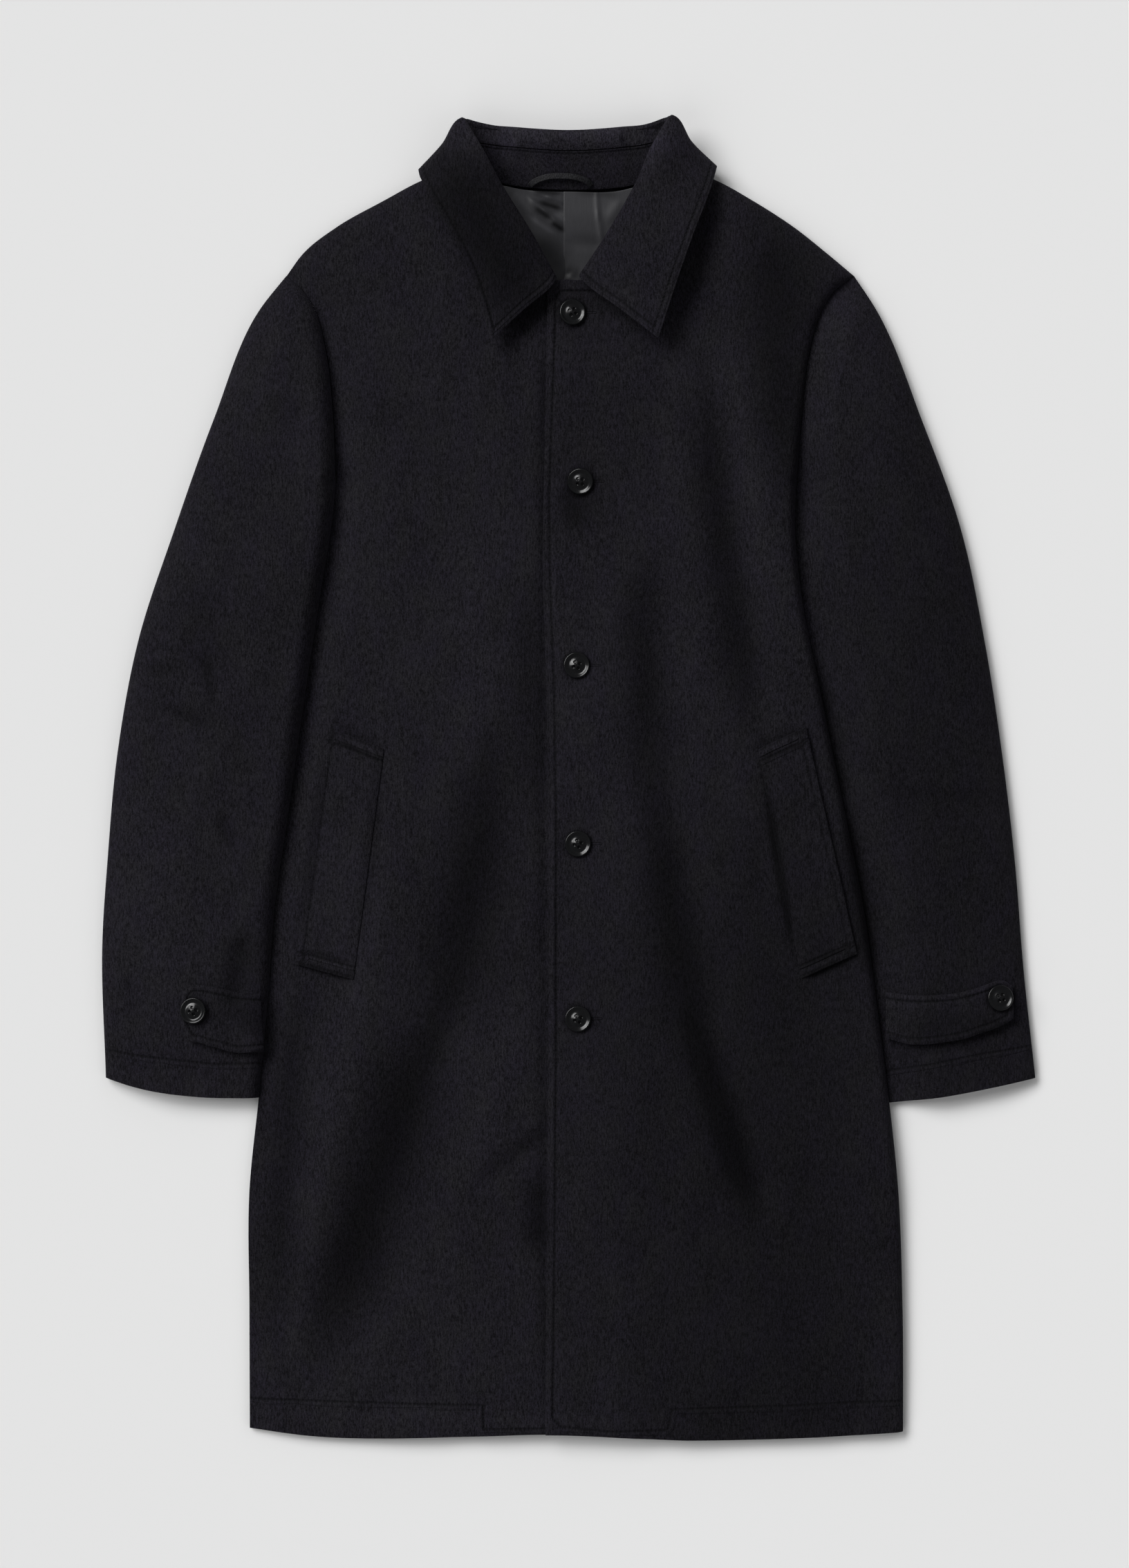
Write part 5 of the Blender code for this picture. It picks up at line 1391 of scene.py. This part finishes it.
def wool_velour(look):
    """Black wool velour, woven, milled and brushed: a short dense nap that lies down the coat.

    To the eye it is near black with a violet cast, dull, a little lighter where the nap stands up at folds
    and edges, streaked along its lie and blotched where its lie turns another way; stitches sink into it.
    Its colour is also scaled by painted shade and painted light: darker where folds turn from the light, in
    valleys and under edges and buttons, lighter where folds face the light.
    """
    made, tree, shader, place = new_material("black_wool_velour_brushed")
    tufts = noise(tree, place, TUFT_SIZE, detail=2.0)
    grain = noise(tree, place, GRAIN_SIZE, detail=2.0)
    lie = noise(tree, place, LIE_SIZE, detail=5.0, Roughness=0.6)
    fine = calc(tree, "MULTIPLY_ADD", grain, GRAIN_SHARE, tufts)
    shade = mapped(tree, calc(tree, "MULTIPLY_ADD", lie, LIE_SHARE, fine), *NAP_RANGE)
    dyed = mapped(tree, noise(tree, place, DYE_SIZE, detail=3.0), *DYE_RANGE)
    even = blend(tree, shade, look.wool_low, blend(tree, dyed, look.wool_high, look.wool_olive))
    # Painted shade and painted light: the colour is scaled by the strokes kept in the nap attribute
    colour = scaled(tree, even, painted_lightness(tree, LEAST_LEFT_UNDER_PAINTED_SHADE))
    # A row of stitches: a bell-shaped groove across it, deeper at each needle hole
    field = add(tree, "Attribute", attribute_name="stitch").outputs["Vector"]
    away, run, past = add(tree, "SeparateXYZ", {0: field}).outputs
    within = mapped(tree, past, *ROW_END_RANGE, 1.0, 0.0)
    groove = calc(tree, "MULTIPLY", bell(tree, away, look.groove_width * MM), within)
    wave = calc(tree, "COSINE", calc(tree, "MULTIPLY", run, 2 * math.pi / (look.stitch_length * MM)))
    depth = calc(tree, "MULTIPLY", groove, mapped(tree, wave, -1.0, 1.0, STITCH_PULL, 1.0))
    # The edge beyond the row is plumped by its turned-in plies
    beyond = calc(tree, "ADD", away, look.plump_out * MM)
    bead = calc(tree, "MULTIPLY", bell(tree, beyond, look.plump_width * MM), within)
    sewn = calc(tree, "SUBTRACT", bead, depth)
    fuzz = bump(tree, calc(tree, "ADD", tufts, grain), *NAP_BUMP)
    plug(tree, shader, {
        "Base Color": blend(tree, calc(tree, "MULTIPLY", depth, THREAD_SHARE), colour, look.thread),
        "Normal": bump(tree, sewn, 1.0, look.groove_depth, Normal=fuzz),
        "Sheen Tint": (*look.sheen, 1.0),
        **WOOL_FINISH,
    })
    return made


def satin_lining(look):
    """Grey satin lining, woven of smooth filament: floats along its length give a soft streaked gleam and
    crisp bright creases; painted shade and painted light along the creases scale its colour and gleam."""
    made, tree, shader, place = new_material("grey_satin_woven")
    floats = noise(tree, place, FLOAT_SIZE, detail=2.0)
    # Creases turned from the light lose colour and gleam alike
    kept = painted_lightness(tree, LEAST_GLEAM)
    plug(tree, shader, {
        "Base Color": scaled(tree, blend(tree, floats, look.lining_low, look.lining_high), kept),
        "Normal": bump(tree, floats, *FLOAT_BUMP),
        "Specular IOR Level": calc(tree, "MULTIPLY", kept, SATIN_GLEAM),
        **SATIN_FINISH,
    })
    return made


def braided_tape(look):
    """Dark grey tape, braided of wool and shiny filament: lighter than the coat, its strands
    catch the light as short bright flecks."""
    made, tree, shader, place = new_material("grey_tape_braided")
    strands = noise(tree, place, STRAND_SIZE, detail=2.0)
    plug(tree, shader, {
        "Base Color": blend(tree, mapped(tree, strands, *FLECK_RANGE), look.tape_low, look.tape_high),
        "Normal": bump(tree, strands, *STRAND_BUMP),
        **TAPE_FINISH,
    })
    return made


def button_resin(look):
    """Black polyester button resin, cast, turned and tumble polished: deep black with sharp
    crescents of light on its rim, dulled a little by fine scratches."""
    made, tree, shader, place = new_material("black_polyester_resin_polished")
    haze = noise(tree, place, HAZE_SIZE, detail=3.0)
    plug(tree, shader, {
        "Base Color": blend(tree, haze, look.resin_low, look.resin_high),
        "Roughness": mapped(tree, haze, 0.0, 1.0, *RESIN_ROUGHNESS),
        **RESIN_FINISH,
    })
    return made


def spun_thread(look):
    """Black polyester sewing thread, spun and twisted: dull black with fine slanting ridges."""
    made, tree, shader, place = new_material("black_polyester_thread_spun")
    twist = noise(tree, place, TWIST_SIZE, detail=1.0)
    plug(tree, shader, {
        "Base Color": blend(tree, twist, look.thread, look.wool_low),
        "Normal": bump(tree, twist, *TWIST_BUMP),
        **THREAD_FINISH,
    })
    return made


def pale_board(colour):
    """Matt pale board under the coat: even light grey with a barely seen tooth."""
    made, tree, shader, place = new_material("pale_board_matt")
    plug(tree, shader, {
        "Base Color": (*colour, 1.0),
        "Normal": bump(tree, noise(tree, place, TOOTH_SIZE, detail=2.0), *TOOTH_BUMP),
        **BOARD_FINISH,
    })
    return made


# Materials made so far, by the name of the function that makes them
KEPT = {}


def kept_material(maker, look):
    """The material that a maker function gives, made once and found again by its name."""
    name = maker.__name__
    if name not in KEPT:
        KEPT[name] = maker(look)
    return KEPT[name]


def length_property(name, description, default):
    """A length as a property."""
    return FloatProperty(name=name, description=description, default=default, unit="LENGTH")


def number_property(name, description, default):
    """A plain number as a property."""
    return FloatProperty(name=name, description=description, default=default)


def angle_property(name, description, degrees):
    """An angle as a property."""
    return FloatProperty(name=name, description=description, default=math.radians(degrees), subtype="ANGLE")


def colour_property(name, description, hex_colour):
    """A colour as a property."""
    default = linear(hex_colour)
    return FloatVectorProperty(name=name, description=description, default=default, subtype="COLOR")


class CoatLook(bpy.types.PropertyGroup):
    """Cloth thicknesses, stitches and colours of the coat."""
    wool_wall: length_property("Wool", "Thickness of the wool cloth", 0.0024)
    collar_wall: length_property("Collar", "Thickness of the collar's two plies", 0.0030)
    welt_wall: length_property("Welt", "Thickness of the welts and tabs", 0.0028)
    lining_wall: length_property("Lining", "Thickness of the lining", 0.0010)
    loop_wall: length_property("Loop", "Thickness of the hanger loop", 0.0014)
    stitch_length: length_property("Stitch", "Length of one stitch", 0.0034)
    groove_width: length_property("Groove", "Half width of the groove that stitches pull", 0.0009)
    groove_depth: length_property("Groove depth", "How deep stitches pull into the nap", 0.0008)
    plump_out: length_property("Edge bead", "From a row of stitches to the top of the plump edge", 0.0026)
    plump_width: length_property("Edge bead width", "Half width of the plump edge", 0.0018)
    wool_low: colour_property("Wool, dark", "Wool where the nap lies flat", "#0A090C")
    wool_high: colour_property("Wool, light", "Wool where the nap stands", "#232129")
    wool_olive: colour_property("Wool, olive", "Wool where the dye leans to olive", "#242327")
    sheen: colour_property("Nap", "Light caught by the nap at a slant", "#A49EB0")
    thread: colour_property("Thread", "Sewing thread", "#070708")
    lining_low: colour_property("Lining, dark", "Lining between floats", "#1E1E21")
    lining_high: colour_property("Lining, light", "Lining on its floats", "#2C2C30")
    tape_low: colour_property("Tape, dark", "Hanger tape between strands", "#09090A")
    tape_high: colour_property("Tape, light", "Strands of the hanger tape", "#1F1F23")
    resin_low: colour_property("Button, dark", "Button resin", "#060607")
    resin_high: colour_property("Button, light", "Haze in the resin", "#101113")


class CoatStage(bpy.types.PropertyGroup):
    """Floor, light and camera."""
    floor: colour_property("Floor", "Pale board", "#E8E8E8")
    floor_size: length_property("Floor size", "Side of the board", 8.0)
    key: number_property("Key light", "Strength of the light from the upper left", 2.95)
    key_spread: angle_property("Key spread", "Angle the key light fills", 28)
    fill_spread: angle_property("Fill spread", "Angle each fill light fills", 50)
    fill: number_property("Room light", "Strength of the light from all round", 0.14)
    lens: number_property("Lens", "Focal length in mm", 85.0)
    frame_height: length_property("Frame", "Length of surface along the picture's long side", 1.236)
    frame_x: length_property("Frame X", "Middle of the picture", -0.0033)
    frame_y: length_property("Frame Y", "Middle of the picture", -0.0041)


class COAT_OT_fronts(bpy.types.Operator):
    """Lays the two fronts, the left one over the right"""
    bl_idname = "coat.fronts"
    bl_label = "Fronts"

    def execute(self, context):
        look = context.scene.coat_look
        wool = kept_material(wool_velour, look)
        right = front_grid("right", right_edge_x, columns(RIGHT_NECK, "x", "y"), body_top)
        left = front_grid("left", left_edge_x, columns(LEFT_NECK, "x", "y"), left_front_top)
        right_rows = stitch_field(right, [columns(RIGHT_FRONT_STITCH, "x", "y")])
        left_rows = stitch_field(left, [columns(LEFT_FRONT_STITCH, "x", "y")])
        piece = lay_cloth("front_right", right, look.wool_wall, wool, False, right_rows, BODY_PAINTED_LIGHT_AND_SHADE)
        piece = lay_cloth("front_left", left, look.wool_wall, wool, True, left_rows, BODY_PAINTED_LIGHT_AND_SHADE)
        return {"FINISHED"}


class COAT_OT_back(bpy.types.Operator):
    """Lays the back flat on the surface"""
    bl_idname = "coat.back"
    bl_label = "Back"

    def execute(self, context):
        look = context.scene.coat_look
        wool = kept_material(wool_velour, look)
        piece = lay_cloth("back", back_grid(), look.wool_wall, wool, flip=True)
        return {"FINISHED"}


class COAT_OT_sleeves(bpy.types.Operator):
    """Lays the upper and under piece of each sleeve"""
    bl_idname = "coat.sleeves"
    bl_label = "Sleeves"

    def execute(self, context):
        look = context.scene.coat_look
        wool = kept_material(wool_velour, look)
        for side in ("right", "left"):
            upper = sleeve_upper_grid(side)
            sewn = stitch_field(upper, [side_points(CUFF_STITCH, side)])
            is_left = side == "left"
            under_name = f"sleeve_{side}_under"
            under = sleeve_under_grid(side)
            piece = lay_cloth(under_name, under, look.wool_wall, wool, not is_left)
            upper_name = f"sleeve_{side}_upper"
            piece = lay_cloth(upper_name, upper, look.wool_wall, wool, is_left, sewn, SLEEVE_PAINTED_LIGHT_AND_SHADE)
        return {"FINISHED"}


class COAT_OT_collar(bpy.types.Operator):
    """Turns the collar over its roll line"""
    bl_idname = "coat.collar"
    bl_label = "Collar"

    def execute(self, context):
        look = context.scene.coat_look
        wool = kept_material(wool_velour, look)
        stand, fall = collar_grid("stand"), collar_grid("fall")
        up = lengths_along(stand, 1)
        sewn = edge_field(up[:, -1:] - up, lengths_along(stand, 0), STAND_STITCH_IN, FAINT_ROW)
        piece = lay_cloth("collar_stand", stand, look.collar_wall, wool, True, sewn, STAND_PAINTED_LIGHT)
        sewn = collar_stitch(fall)
        piece = lay_cloth("collar_fall", fall, look.collar_wall, wool, True, sewn, COLLAR_PAINTED_LIGHT_AND_SHADE)
        return {"FINISHED"}


class COAT_OT_pockets(bpy.types.Operator):
    """Lays the slanted pocket welts on the fronts"""
    bl_idname = "coat.pockets"
    bl_label = "Pocket welts"

    def execute(self, context):
        look = context.scene.coat_look
        wool = kept_material(wool_velour, look)
        for side, height in (("right", body_top), ("left", left_front_top)):
            grid = welt_grid(side, height, look.welt_wall)
            corner = side_points(WELT, side)
            down = corner[[3, 2]] - corner[:2]
            shares = (WELT_STITCH_SHARE, 1 - WELT_STITCH_SHARE, WELT_END_SHARE, 1 - WELT_END_SHARE)
            inward = unit(corner[0] - corner[1])
            rows = [corner[:2] + down * share for share in shares] + [corner[1:3] + inward * WELT_EDGE_IN]
            # The rows at the very ends and along the open edge are faint
            sewn = stitch_field(grid, rows, faint=(2, 3, 4))
            name = f"pocket_welt_{side}"
            piece = lay_cloth(name, grid, look.welt_wall, wool, side == "left", sewn, BODY_PAINTED_LIGHT_AND_SHADE)
        return {"FINISHED"}


class COAT_OT_tabs(bpy.types.Operator):
    """Lays the cuff tabs on the sleeves"""
    bl_idname = "coat.tabs"
    bl_label = "Cuff tabs"

    def execute(self, context):
        look = context.scene.coat_look
        wool = kept_material(wool_velour, look)
        for side in ("right", "left"):
            grid = tab_grid(side, look.welt_wall)
            border = np.concatenate([grid[:, -1, :2], grid[-1, -2:0:-1, :2], grid[::-1, 0, :2]])
            border = along(border, EDGE_SHARES)
            inside, share = nearest(grid[..., 0], grid[..., 1], border)
            total = np.linalg.norm(np.diff(border, axis=0), axis=1).sum()
            sewn = edge_field(inside, share * total, TAB_STITCH_IN)
            name = f"cuff_tab_{side}"
            piece = lay_cloth(name, grid, look.welt_wall, wool, side == "left", sewn, TAB_PAINTED_SHADE)
        return {"FINISHED"}


class COAT_OT_loop(bpy.types.Operator):
    """Hangs the loop at the back neck"""
    bl_idname = "coat.loop"
    bl_label = "Hanger loop"

    def execute(self, context):
        look = context.scene.coat_look
        braid = kept_material(braided_tape, look)
        grid = loop_grid()
        wall = look.loop_wall
        piece = lay_cloth("hanger_loop", grid, wall, braid, True, soft_edge=LOOP_EDGE_ROUND)
        return {"FINISHED"}


class COAT_OT_lining(bpy.types.Operator):
    """Lays the two halves of the back lining, pleated at the middle"""
    bl_idname = "coat.lining"
    bl_label = "Lining"

    def execute(self, context):
        look = context.scene.coat_look
        satin = kept_material(satin_lining, look)
        walls = (look.wool_wall, look.lining_wall)
        lapped = PLEAT_X + PLEAT_LAP
        right = lining_grid(-LINING_HALF_WIDTH, lapped, 0.0, LINING_TILT, RIGHT_WRINKLES, *walls)
        lift = look.lining_wall + LAID_GAP
        left = lining_grid(PLEAT_X, LINING_HALF_WIDTH, lift, 0.0, LEFT_WRINKLES, *walls)
        for side, grid in (("right", right), ("left", left)):
            name = f"back_lining_{side}"
            # The satin's painted shade and painted light along its creases go in as its nap strokes
            piece = lay_cloth(
                name,
                grid,
                look.lining_wall,
                satin,
                nap=LINING_SHADE,
                soft_edge=LINING_EDGE_ROUND,
            )
        return {"FINISHED"}


def button_points():
    """A button turned from its section: rings of points, its holes sunk into the dish.

    A hole is a soft step down from the dish within BUTTON_HOLE_RADIUS of its middle.
    """
    section = along(columns(BUTTON_SECTION, "radius", "height"), np.linspace(0, 1, BUTTON_STEPS + 1))
    section[[0, -1], 0] = 0.0
    angle = np.linspace(0, 2 * math.pi, BUTTON_SIDES, endpoint=False)
    radius, height = section[:, :1], section[:, 1:]
    x, y = radius * np.cos(angle), radius * np.sin(angle)
    z = np.repeat(height, BUTTON_SIDES, axis=1)
    face = np.arange(BUTTON_STEPS + 1)[:, None] < BUTTON_STEPS / 2
    for quarter in (1, 3, 5, 7):
        hole = quarter * math.pi / 4
        away = np.hypot(x - BUTTON_HOLE_REACH * math.cos(hole), y - BUTTON_HOLE_REACH * math.sin(hole))
        sink = 1 - ease(away, BUTTON_HOLE_RADIUS - BUTTON_HOLE_EDGE, BUTTON_HOLE_RADIUS + BUTTON_HOLE_EDGE)
        z = z - face * sink * BUTTON_HOLE_DEPTH
    return np.stack([x, y, z], axis=-1)


def ring_faces(rings, sides):
    """Faces between closed rings of points, outwards when the rings run from top to bottom."""
    index = np.arange(rings * sides).reshape(rings, sides)
    turned = np.roll(index, -1, axis=1)
    return np.stack([index[:-1], index[1:], turned[1:], turned[:-1]], axis=-1).reshape(-1, 4)


def tube(path, radius):
    """A thread: rings of points round a path, square to it, and the faces between them."""
    run = unit(np.gradient(path, axis=0))
    side = unit(np.cross(run, THREAD_UP))
    over = np.cross(side, run)
    angle = np.linspace(0, 2 * math.pi, THREAD_SIDES, endpoint=False)[:, None]
    ring = side[:, None, :] * np.cos(angle) + over[:, None, :] * np.sin(angle)
    return path[:, None, :] + radius * ring, ring_faces(len(path), THREAD_SIDES)


def button_thread():
    """Two threads over a button's face, each arched from one hole across to the next."""
    share = np.linspace(-1, 1, THREAD_STEPS + 1)
    reach = BUTTON_HOLE_REACH * math.sqrt(0.5)
    radius, height = (values[:BUTTON_FACE_POINTS] for values in BUTTON_SECTION.values())
    face_z = smooth(np.array([BUTTON_HOLE_REACH]), radius, height)[0]
    z = face_z + THREAD_RISE - (THREAD_RISE + THREAD_SINK) * share ** 4
    return [np.stack([np.full(len(share), side * reach), reach * share, z], axis=-1) for side in (-1, 1)]


def buttonhole_path(name):
    """The ring of thread round a buttonhole: two long sides and round ends, laid on the front,
    from under the button towards the wearer's left."""
    row = BUTTON_NAMES.index(name)
    angle = np.linspace(0, 2 * math.pi, HOLE_STEPS + 1)
    half = HOLE_LENGTH / 2 - HOLE_HALF_WIDTH
    run = half * np.clip(HOLE_SQUARENESS * np.cos(angle), -1, 1)
    x = BUTTONS["x"][row] + half + run + HOLE_HALF_WIDTH * np.cos(angle)
    y = BUTTONS["y"][row] + HOLE_HALF_WIDTH * np.sin(angle)
    return laid_on(left_front_top, x, y, np.full(len(x), HOLE_RISE))


def sew(name, paths, material):
    """One piece of sewn thread along some paths."""
    made = [tube(path, THREAD_RADIUS) for path in paths]
    points = np.concatenate([rings.reshape(-1, 3) for rings, faces in made])
    starts = np.cumsum([0] + [len(rings) * THREAD_SIDES for rings, faces in made])
    faces = np.concatenate([faces + start for (rings, faces), start in zip(made, starts)])
    piece = put_mesh(name, points, faces.tolist(), material)
    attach(piece, "root")


def button_place(name):
    """The matrix that seats a button: at its foot, leaned to the cloth, then tilted and turned."""
    row = BUTTON_NAMES.index(name)
    x, y, tilt_x, tilt_y, turn = (values[row] for values in BUTTONS.values())
    rise = LAID_GAP + bpy.context.scene.coat_look.welt_wall + TAB_LIFT / 2

    def face(px, py):
        if "front" in name:
            return left_front_top(px, py)
        return sleeve_top(px, py, name.split("_")[-1]) + rise

    place = np.array([x]), np.array([y])
    edge_drop = BUTTON_SECTION["radius"].max() * math.sin(math.radians(abs(tilt_x) + abs(tilt_y)))
    foot = laid_on(face, *place, np.array([BUTTON_GAP + edge_drop]))[0]
    upright = Vector(laid_on(face, *place, np.array([1.0]))[0] - laid_on(face, *place, np.array([0.0]))[0])
    lean = upright.to_track_quat("Z", "Y").to_matrix().to_4x4()
    tilt = Euler((math.radians(tilt_x), math.radians(tilt_y), math.radians(turn))).to_matrix().to_4x4()
    return np.array(Matrix.Translation(foot) @ lean @ tilt)


class COAT_OT_buttons(bpy.types.Operator):
    """Sets the turned buttons on the front and the cuff tabs, sewn on with thread"""
    bl_idname = "coat.buttons"
    bl_label = "Buttons"

    def execute(self, context):
        look = context.scene.coat_look
        resin = kept_material(button_resin, look)
        thread = kept_material(spun_thread, look)
        points = button_points()
        faces = ring_faces(*points.shape[:2]).tolist()
        for name in BUTTON_NAMES:
            place = button_place(name)
            seated = points @ place[:3, :3].T + place[:3, 3]
            piece = put_mesh(name + "_turned", seated, faces, resin)
            weld = piece.modifiers.new("middle_weld", "WELD")
            weld.merge_threshold = MIDDLE_WELD_REACH
            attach(piece, "root")
            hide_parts(name)
            sewn = [path @ place[:3, :3].T + place[:3, 3] for path in button_thread()]
            sew(name + "_thread", sewn, thread)
        return {"FINISHED"}


class COAT_OT_buttonholes(bpy.types.Operator):
    """Sews a ring of thread round each buttonhole of the left front"""
    bl_idname = "coat.buttonholes"
    bl_label = "Buttonholes"

    def execute(self, context):
        thread = kept_material(spun_thread, context.scene.coat_look)
        for name in BUTTON_NAMES:
            if "front" in name:
                sew(name.replace("button", "buttonhole") + "_sewn", [buttonhole_path(name)], thread)
        return {"FINISHED"}


class COAT_OT_stage(bpy.types.Operator):
    """Sets the floor, the light and the camera straight above the coat"""
    bl_idname = "coat.stage"
    bl_label = "Stage"

    def execute(self, context):
        scene = context.scene
        stage = scene.coat_stage
        half = stage.floor_size / 2
        corners = np.array([(-half, -half, 0), (half, -half, 0), (half, half, 0), (-half, half, 0)])
        floor = put_mesh("floor", corners, [(0, 1, 2, 3)], pale_board(stage.floor))
        world = bpy.data.worlds.new("studio")
        world.use_nodes = True
        sky = world.node_tree.nodes["Background"]
        sky.inputs["Color"].default_value = (1.0, 1.0, 1.0, 1.0)
        sky.inputs["Strength"].default_value = stage.fill
        scene.world = world
        scene.view_settings.view_transform = "Standard"
        lamps = []
        for number, way in enumerate(columns(KEY_LIGHTS, "x", "y", "z"), 1):
            lamps.append((f"key_{number}", way, stage.key / len(KEY_LIGHTS["x"]), stage.key_spread))
        for number, (x, y, z, strength) in enumerate(zip(*FILL_LIGHTS.values()), 1):
            lamps.append((f"fill_{number}", (x, y, z), strength, stage.fill_spread))
        for name, way, strength, spread in lamps:
            light = bpy.data.lights.new(name, "SUN")
            light.energy = strength
            light.angle = spread
            lamp = bpy.data.objects.new(name, light)
            lamp.rotation_euler = Vector(way).to_track_quat("-Z", "Y").to_euler()
            lamp.visible_glossy = name.startswith("key")
            scene.collection.objects.link(lamp)
        lens = bpy.data.cameras.new("camera")
        lens.lens = stage.lens
        lens.sensor_width = SENSOR_WIDTH
        camera = bpy.data.objects.new("camera", lens)
        rise = stage.frame_height * stage.lens / lens.sensor_width
        camera.location = (stage.frame_x, stage.frame_y, rise + SLEEVE_LOFT["height"][0])
        scene.collection.objects.link(camera)
        scene.camera = camera
        return {"FINISHED"}


class COAT_PT_panel(bpy.types.Panel):
    """Lists the coat's pieces and the stage"""
    bl_idname = "COAT_PT_panel"
    bl_label = "Wool coat"
    bl_space_type = "VIEW_3D"
    bl_region_type = "UI"
    bl_category = "Coat"

    def draw(self, context):
        for maker in OPERATORS:
            self.layout.operator(maker.bl_idname)


OPERATORS = (
    COAT_OT_stage,
    COAT_OT_back,
    COAT_OT_fronts,
    COAT_OT_sleeves,
    COAT_OT_collar,
    COAT_OT_pockets,
    COAT_OT_tabs,
    COAT_OT_loop,
    COAT_OT_lining,
    COAT_OT_buttons,
    COAT_OT_buttonholes,
)
CLASSES = (CoatLook, CoatStage, *OPERATORS, COAT_PT_panel)


def register():
    """Registers the classes and hangs the sizes on the scene."""
    for kind in CLASSES:
        bpy.utils.register_class(kind)
    bpy.types.Scene.coat_look = PointerProperty(type=CoatLook)
    bpy.types.Scene.coat_stage = PointerProperty(type=CoatStage)


def unregister():
    """Takes the sizes and classes away again."""
    del bpy.types.Scene.coat_stage
    del bpy.types.Scene.coat_look
    for kind in reversed(CLASSES):
        bpy.utils.unregister_class(kind)


def main():
    """Makes every piece in order."""
    register()
    for maker in OPERATORS:
        group, name = maker.bl_idname.split(".")
        getattr(getattr(bpy.ops, group), name)()
    bpy.context.view_layer.update()


if __name__ == "__main__":
    main()
